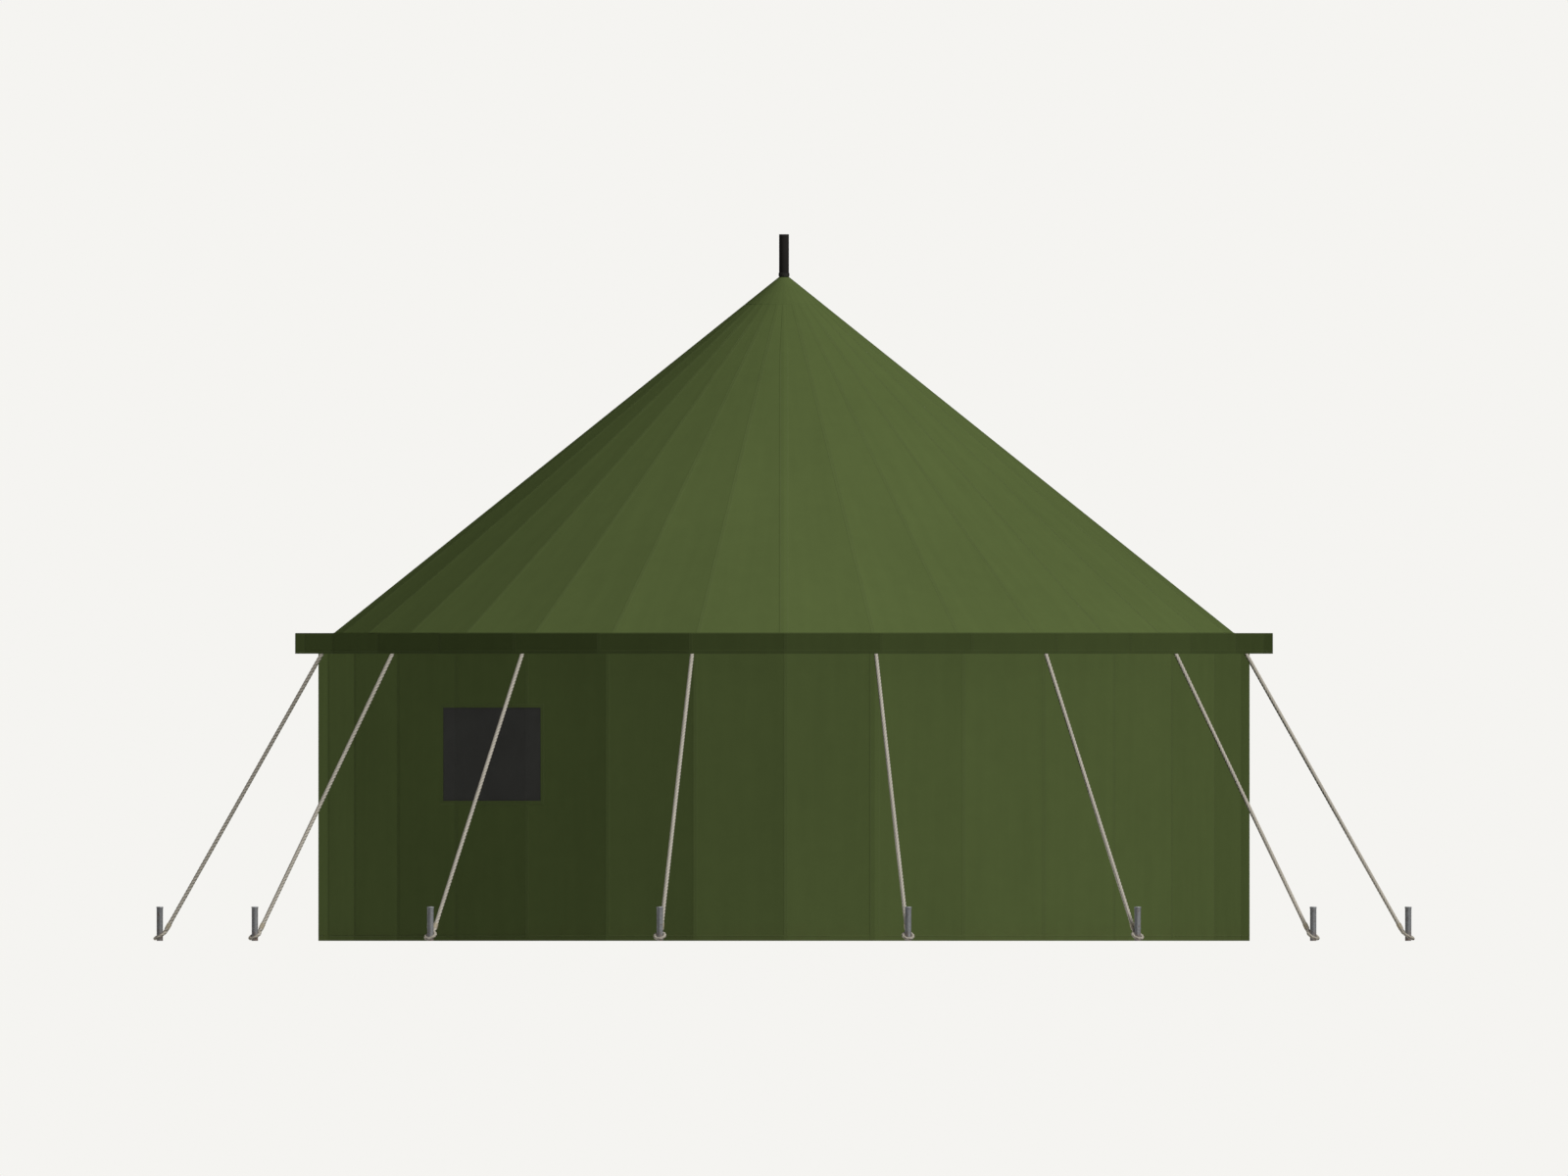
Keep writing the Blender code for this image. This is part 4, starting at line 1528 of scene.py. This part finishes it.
def make_battens(name, first_angle, finish):
    """Canvas-sleeved battens that carry the brim, one over every side pole."""
    wide, deep = BATTEN_SIZE
    outer = BAND_RADIUS - RIM_BEND
    size = Vector((wide, outer - BATTEN_INNER_RADIUS, deep))
    middle = BAND_TOP - BRIM_THICKNESS - deep / 2
    centre = Vector((0, -(outer + BATTEN_INNER_RADIUS) / 2, middle))
    rounded = {"offset": BATTEN_BEVEL, "segments": 3, "profile": 0.6, "affect": "EDGES"}

    def shape_batten(shape):
        bmesh.ops.create_cube(shape, size=1, matrix=Matrix.LocRotScale(centre, None, size))
        bmesh.ops.bevel(shape, geom=list(shape.edges), **rounded)

    mesh = smooth(reshaped(bpy.data.meshes.new(name), shape_batten), 40)
    mesh = set_out(mesh, finish, GUYS // 2, first_angle, GUY_STEP)
    piece = show(name, mesh, finish)
    piece.visible_shadow = False
    return carried(piece, "dark_olive_canvas")


class TENT_OT_sew_eave_band(bpy.types.Operator):
    """Sew the two halves of the dark eave band, with battens, piping and stitches"""

    bl_idname = "tent.sew_eave_band"
    bl_label = "Sew Eave Band"

    def execute(self, context):
        settings = context.scene.tent_canvas
        dark, cord = dark_canvas_of(context), dark_cord_of(context)
        for name, first in (("front", -CLOTHS // 4), ("back", CLOTHS // 4)):
            piece = make_band(name, first, settings, dark)
            battens = make_battens(f"brim_battens_{name}", first * STEP + FIRST_GUY, dark)
            lines = band_stitch_lines(first, settings)
            rows = stitched(f"eave_stitches_{name}", lines, settings, cord, "dark_olive_canvas")
            edge = (BRIM_INNER_RADIUS + 0.001, BAND_TOP + PIPING_RISE)
            line = ring_line(*edge, first, PIPING_SHORT)
            piping = cord_mesh("eave_piping", [line], [PIPING_GIRTH], dark, spacing=0.08, sides=10)
            piping = carried(show(f"eave_piping_{name}", piping, dark), "dark_olive_canvas")
        return {"FINISHED"}


# Poles and stakes


class TENT_OT_raise_king_pole(bpy.types.Operator):
    """Turn the black king pole, with its collar under the canvas and its lashing above it"""

    bl_idname = "tent.raise_king_pole"
    bl_label = "Raise King Pole"

    def execute(self, context):
        paint = finish_of(paint_finish, "black_enamel", context.scene.tent_poles.paint)
        radius, top, joint = KING_POLE_RADIUS, KING_POLE_TOP, KING_POLE_JOINT
        collar = roof_height(COLLAR_RADIUS) - COLLAR_DROP
        collar_top = roof_height(radius) - COLLAR_DROP
        profile = [
            (radius - 0.003, 0.0),
            (radius, 0.003),
            (radius, joint - 0.12),
            (radius + 0.004, joint - 0.118),
            (radius + 0.004, joint + 0.12),
            (radius, joint + 0.122),
            (radius, collar - 0.067),
            (COLLAR_RADIUS - 0.004, collar - 0.021),
            (COLLAR_RADIUS, collar - 0.018),
            (COLLAR_RADIUS, collar - 0.001),
            (COLLAR_RADIUS - 0.003, collar + 0.001),
            (radius + 0.001, collar_top - 0.001),
            (radius, collar_top),
            (radius, top - 0.006),
            (radius - 0.0015, top - 0.0022),
            (radius - 0.005, top),
        ]
        mesh = turned_mesh("king_pole_tube", profile, 72)
        carried(show("king_pole_tube", mesh, paint), "black_paint", "king_pole")

        cord = finish_of(thread_finish, "tarred_cord", TARRED)
        steps = 24
        count = np.arange(LASHING_TURNS * steps + 1)
        angle = count * math.tau / steps
        height = LASHING_FOOT + count / steps * (2 * LASHING_GIRTH)
        ring = LASHING_RING
        line = np.stack((ring * np.sin(angle), -ring * np.cos(angle), height), axis=-1)
        lashing = cord_mesh("crown_lashing", [line], [LASHING_GIRTH], cord, spacing=0.012)
        carried(show("crown_lashing", lashing, cord), "olive_canvas")
        return {"FINISHED"}


class TENT_OT_set_side_poles(bpy.types.Operator):
    """Turn the sixteen galvanised side poles, each with its foot, sleeve and spike"""

    bl_idname = "tent.set_side_poles"
    bl_label = "Set Side Poles"

    def execute(self, context):
        zinc = finish_of(zinc_finish, "galvanised_tube", context.scene.tent_poles.zinc)
        radius, head, spike = SIDE_POLE_RADIUS, SIDE_POLE_HEAD, SPIKE_RADIUS
        profile = [
            (radius - 0.003, 0.0),
            (radius, 0.003),
            (radius, 0.05),
            (radius - 0.0015, 0.052),
            (radius - 0.0015, head - 0.054),
            (radius - 0.003, head - 0.046),
            (0.026, head - 0.003),
            (0.0235, head - 0.0008),
            (spike + 0.004, head),
            (spike, head + 0.003),
            (spike, SPIKE_TOP - 0.004),
            (spike - 0.003, SPIKE_TOP),
        ]
        mesh = turned_mesh("side_pole_tube", profile, 36)
        for number, place in guy_places(SIDE_POLE_CIRCLE):
            piece = show(f"side_pole_tube_{number:02d}", moved(mesh, place), zinc)
            carried(piece, "galvanised_steel", f"side_pole_{number:02d}")
        return {"FINISHED"}


class TENT_OT_drive_stakes(bpy.types.Operator):
    """Turn the sixteen steel stakes, with a head spread by the hammer"""

    bl_idname = "tent.drive_stakes"
    bl_label = "Drive Stakes"

    def execute(self, context):
        steel = finish_of(stake_finish, "worn_stake_steel", context.scene.tent_poles.steel)
        radius, top = STAKE_RADIUS, STAKE_HEIGHT
        profile = [
            (radius - 0.001, 0.0),
            (radius - 0.001, 0.12),
            (radius - 0.0008, 0.24),
            (radius - 0.0004, top - 0.030),
            (radius + 0.0004, top - 0.020),
            (radius + 0.0018, top - 0.0145),
            (radius + 0.0027, top - 0.0100),
            (radius + 0.0024, top - 0.0060),
            (radius + 0.0004, top - 0.0030),
            (radius - 0.0040, top - 0.0010),
            (radius * 0.45, top),
        ]
        for number, place in guy_places(STAKE_CIRCLE):
            draw = np.random.default_rng(STAKE_SEED + number)
            mesh = turned_mesh("stake_bar", profile, 40)
            waves = [(k, draw.uniform(0, math.tau)) for k in (3, 5, 8)]
            for vert in mesh.vertices:
                x, y, z = vert.co
                beaten = np.clip((z - (top - BEATEN_DEPTH)) / BEATEN_FADE, 0, 1)
                angle = math.atan2(y, x)
                burr = sum(math.sin(k * angle + phase) for k, phase in waves) / len(waves)
                factor = 1 + BURR * beaten * burr
                vert.co = (x * factor, y * factor, z)
            smooth(mesh, 40)
            mesh.transform(place)
            piece = show(f"stake_bar_{number:02d}", mesh, steel)
            carried(piece, "stake_steel", f"stake_{number:02d}")
        return {"FINISHED"}


# Rigging


def coil(start, end, girths, twine, steps=10):
    """A tight helix of twine about the line from start to end, on a girth at each end."""
    axis = (end - start).normalized()
    side = Vector((1, 0, 0))
    other = axis.cross(side).normalized()
    turns = max(3, round((end - start).length / (2 * twine)))
    points = []
    for k in range(turns * steps + 1):
        share = k / (turns * steps)
        angle = math.tau * k / steps
        radius = girths[0] + (girths[1] - girths[0]) * share + 0.4 * twine
        centre = start.lerp(end, share)
        points.append(centre + radius * (math.cos(angle) * side + math.sin(angle) * other))
    return np.array(points)


def loop_about(centre, long_way, short_way, halves, steps=16):
    """An oval loop about a centre, in the plane of two directions."""
    return np.array(
        [
            centre + long_way * (halves[0] * math.cos(a)) + short_way * (halves[1] * math.sin(a))
            for a in np.linspace(0, math.tau, steps + 1)
        ]
    )


def make_guy_rope(settings, fibre, twine):
    """One rope for the front: an eye spliced on the spike, the run, and an eye about the stake."""
    stake = Vector((0, -STAKE_CIRCLE, HITCH_HEIGHT))
    spike = Vector((0, -SIDE_POLE_CIRCLE, EYE_HEIGHT))
    foot = stake + Vector((0, HITCH_RING, HITCH_SLOPE * HITCH_RING))
    top = spike - Vector((0, EYE_RING, 0))
    way = (top - foot).normalized()
    length = (top - foot).length
    stations = np.concatenate(([0.0, 0.02, 0.06, 0.12, 0.18], np.linspace(0.3, length - 0.12, 6)))
    stations = np.append(stations, [length - 0.085, length - 0.05, length - 0.02, length])
    run = np.array([foot + way * s for s in stations])
    girth = settings.girth
    girths = np.interp(
        stations,
        [0.0, 0.06, 0.18, length - 0.12, length - 0.05, length],
        [girth * 1.02, girth * 1.1, girth, girth, HEAD_GIRTH, EYE_GIRTH],
    )
    side = Vector((1, 0, 0))
    hitch = loop_about(stake, Vector((0, 1, HITCH_SLOPE)), side, (HITCH_RING, HITCH_RING), steps=36)
    eye = loop_about(spike, Vector((0, -1, 0)), side, (EYE_RING, EYE_RING), steps=36)
    laid = {"spacing": settings.ring_spacing, "sides": 18, "lay": settings.lay}
    spliced = {"spacing": 0.006, "sides": 12, "lay": EYE_LAY}
    twines = [FOOT_WHIPPING, HEAD_WHIPPING]
    low = [foot + way * reach for reach in FOOT_WHIPPING_SPAN]
    high = [foot + way * (length - reach) for reach in HEAD_WHIPPING_SPAN]
    wraps = [
        coil(*low, (girth * 1.08, girth * 1.08), FOOT_WHIPPING),
        coil(*high, HEAD_WHIPPING_GIRTHS, HEAD_WHIPPING),
    ]
    parts = [
        cord_mesh("guy_laid", [run, hitch], [girths, HITCH_GIRTH], fibre, **laid),
        cord_mesh("guy_eye", [eye], [EYE_GIRTH], fibre, **spliced),
        cord_mesh("guy_whipping", wraps, twines, twine, spacing=0.011, sides=6),
    ]
    return joined("guy_rope", parts)


class TENT_OT_rig_guy_ropes(bpy.types.Operator):
    """Lay the sixteen guy ropes from the spikes to the stakes"""

    bl_idname = "tent.rig_guy_ropes"
    bl_label = "Rig Guy Ropes"

    def execute(self, context):
        settings = context.scene.tent_rigging
        fibre = finish_of(rope_finish, "natural_rope_fibre", settings.rope)
        twine = finish_of(thread_finish, "tarred_twine", settings.twine)
        mesh = make_guy_rope(settings, fibre, twine)
        for number, place in guy_places():
            piece = show(f"guy_rope_laid_{number:02d}", moved(mesh, place))
            piece.visible_shadow = False
            carried(piece, "natural_rope", f"guy_rope_{number:02d}")
        return {"FINISHED"}


class TENT_OT_lace_eave(bpy.types.Operator):
    """Fit the brass eyelets, and lace the walls to the roof's edge under the brim"""

    bl_idname = "tent.lace_eave"
    bl_label = "Lace Eave"

    def execute(self, context):
        brass = finish_of(eyelet_finish, "dull_brass", BRASS)
        cord = dark_cord_of(context)
        slope = Vector((0, 1, 1 / ROOF_RUN_PER_RISE))
        height = roof_height(SIDE_POLE_CIRCLE) + SPIKE_EYELET_RISE
        hole = Vector((0, -SIDE_POLE_CIRCLE, height))
        ring = loop_about(hole, Vector((1, 0, 0)), slope, SPIKE_EYELET)
        mesh = cord_mesh("spike_eyelet", [ring], [SPIKE_EYELET_GIRTH], brass, spacing=0.0065)
        mesh = set_out(mesh, brass, GUYS, FIRST_GUY, GUY_STEP)
        carried(show("spike_eyelets", mesh, brass), "galvanised_steel")

        outward = tent_point(1, 0, STEP / 2)
        sideways = tent_point(1, 0, STEP / 2 + 90)
        up = Vector((0, 0, 1))
        steep, flat = LACING_LEAN
        lean = steep * up - flat * outward
        belly = flat * up + steep * outward
        reach = WALL_RADIUS * MIDDLE_SHARE
        loops, eyelets = [], []
        for share in LACING_SHARES:
            across = sideways * share * half_cloth(WALL_RADIUS)
            centre = across + outward * (reach - LACING_INSET) + up * (WALL_HEIGHT + LACING_RISE)
            loops.append(loop_about(centre, lean, belly, LACING_HALVES))
            hole = across + outward * (reach - WALL_EYELET_INSET)
            hole = hole + up * (WALL_HEIGHT - WALL_EYELET_DROP)
            eyelets.append(loop_about(hole, sideways, up, WALL_EYELET, steps=10))
        for name, paths, girth, spacing, finish, slot in (
            ("wall_lacing", loops, LACING_GIRTH, 0.012, cord, "olive_canvas"),
            ("lacing_eyelets", eyelets, WALL_EYELET_GIRTH, 0.0055, brass, "galvanised_steel"),
        ):
            mesh = cord_mesh(name, paths, [girth] * len(paths), finish, spacing, sides=6)
            mesh = set_out(mesh, finish, CLOTHS, 0.0, STEP)
            carried(show(name, mesh, finish), slot)
        return {"FINISHED"}


# Stage


def add_sun(name, strength, azimuth, elevation, softness):
    """A sun lamp that shines from an azimuth and an elevation."""
    lamp = bpy.data.lights.new(name, "SUN")
    lamp.energy = strength
    lamp.angle = math.radians(softness)
    made = bpy.data.objects.new(name, lamp)
    rise = math.radians(elevation)
    source = tent_point(math.cos(rise), math.sin(rise), azimuth)
    made.rotation_euler = (-source).to_track_quat("-Z", "Y").to_euler()
    made.location = source * SUN_DISTANCE
    bpy.context.scene.collection.objects.link(made)


def lay_floor(settings):
    """A round floor whose finish, under the lights that reach it, looks as pale as the backdrop."""

    def shape_floor(shape):
        bmesh.ops.create_circle(shape, cap_ends=True, segments=128, radius=settings.floor_radius)
        bmesh.ops.translate(shape, vec=(0, 0, -FLOOR_DROP), verts=shape.verts)

    mesh = reshaped(bpy.data.meshes.new("floor"), shape_floor)
    key_rise, back_rise = (math.sin(math.radians(sun[1])) for sun in (KEY_SUN, BACK_SUN))
    level = settings.key_strength / math.pi * (key_rise + settings.back_share * back_rise)
    level += settings.ambient
    finish = floor_finish("pale_floor", tuple(part / level for part in settings.pale))
    floor = show("floor", mesh, finish)
    floor.visible_diffuse = False
    floor.visible_glossy = False
    floor.visible_shadow = False


def hang_backdrop(scene, settings):
    """A world that shows the pale backdrop to the camera and gives even light to the tent."""
    world = scene.world or bpy.data.worlds.new("backdrop")
    scene.world = world
    world.use_nodes = True
    world.node_tree.nodes.clear()
    nodes = Nodes(world.node_tree)
    seen = nodes.add("ShaderNodeLightPath")["Is Camera Ray"]
    lights = [
        nodes.add("ShaderNodeBackground", {"Color": opaque(colour), "Strength": strength})[0]
        for colour, strength in (((1.0, 1.0, 1.0), settings.ambient), (settings.pale, 1.0))
    ]
    mix = nodes.add("ShaderNodeMixShader", {0: seen, 1: lights[0], 2: lights[1]})["Shader"]
    nodes.add("ShaderNodeOutputWorld", {"Surface": mix})


class TENT_OT_light_stage(bpy.types.Operator):
    """Lay the pale floor, hang the soft lights and place the camera"""

    bl_idname = "tent.light_stage"
    bl_label = "Light Stage"

    def execute(self, context):
        scene = context.scene
        settings = scene.tent_stage
        lay_floor(settings)
        key = settings.key_strength
        add_sun("key_light", key, *KEY_SUN)
        add_sun("left_fill", key * settings.fill_share, *LEFT_SUN)
        add_sun("back_fill", key * settings.back_share, *BACK_SUN)
        hang_backdrop(scene, settings)
        scene.view_settings.view_transform = "Standard"

        lens = bpy.data.cameras.new("camera")
        lens.type = "ORTHO"
        lens.ortho_scale = settings.frame_width
        lens.clip_end = CAMERA_REACH
        camera = bpy.data.objects.new("camera", lens)
        camera.location = (0.0, -CAMERA_DISTANCE, settings.camera_height)
        camera.rotation_euler = (math.radians(90.0), 0.0, 0.0)
        scene.collection.objects.link(camera)
        scene.camera = camera
        return {"FINISHED"}


# Add-on

OPERATORS = (
    TENT_OT_sew_roof,
    TENT_OT_sew_walls,
    TENT_OT_set_window,
    TENT_OT_sew_eave_band,
    TENT_OT_raise_king_pole,
    TENT_OT_set_side_poles,
    TENT_OT_drive_stakes,
    TENT_OT_rig_guy_ropes,
    TENT_OT_lace_eave,
    TENT_OT_light_stage,
)
SETTINGS = {
    "tent_canvas": CanvasSettings,
    "tent_rigging": RiggingSettings,
    "tent_poles": PoleSettings,
    "tent_stage": StageSettings,
}


class TENT_PT_tent(bpy.types.Panel):
    """The tent's settings and the steps that make it"""

    bl_idname = "TENT_PT_tent"
    bl_label = "Round Canvas Tent"
    bl_space_type = "VIEW_3D"
    bl_region_type = "UI"
    bl_category = "Tent"

    def draw(self, context):
        layout = self.layout
        for step in OPERATORS:
            layout.operator(step.bl_idname)
        for name, group in SETTINGS.items():
            box = layout.box()
            box.label(text=group.__doc__)
            settings = getattr(context.scene, name)
            for field in group.__annotations__:
                box.prop(settings, field)


def register():
    for group in (*SETTINGS.values(), *OPERATORS, TENT_PT_tent):
        bpy.utils.register_class(group)
    for name, group in SETTINGS.items():
        setattr(bpy.types.Scene, name, bpy.props.PointerProperty(type=group))


def unregister():
    for name in SETTINGS:
        delattr(bpy.types.Scene, name)
    for group in (TENT_PT_tent, *reversed(OPERATORS), *reversed(SETTINGS.values())):
        bpy.utils.unregister_class(group)


def main():
    register()
    for step in OPERATORS:
        area, action = step.bl_idname.split(".")
        getattr(getattr(bpy.ops, area), action)()


if __name__ == "__main__":
    main()
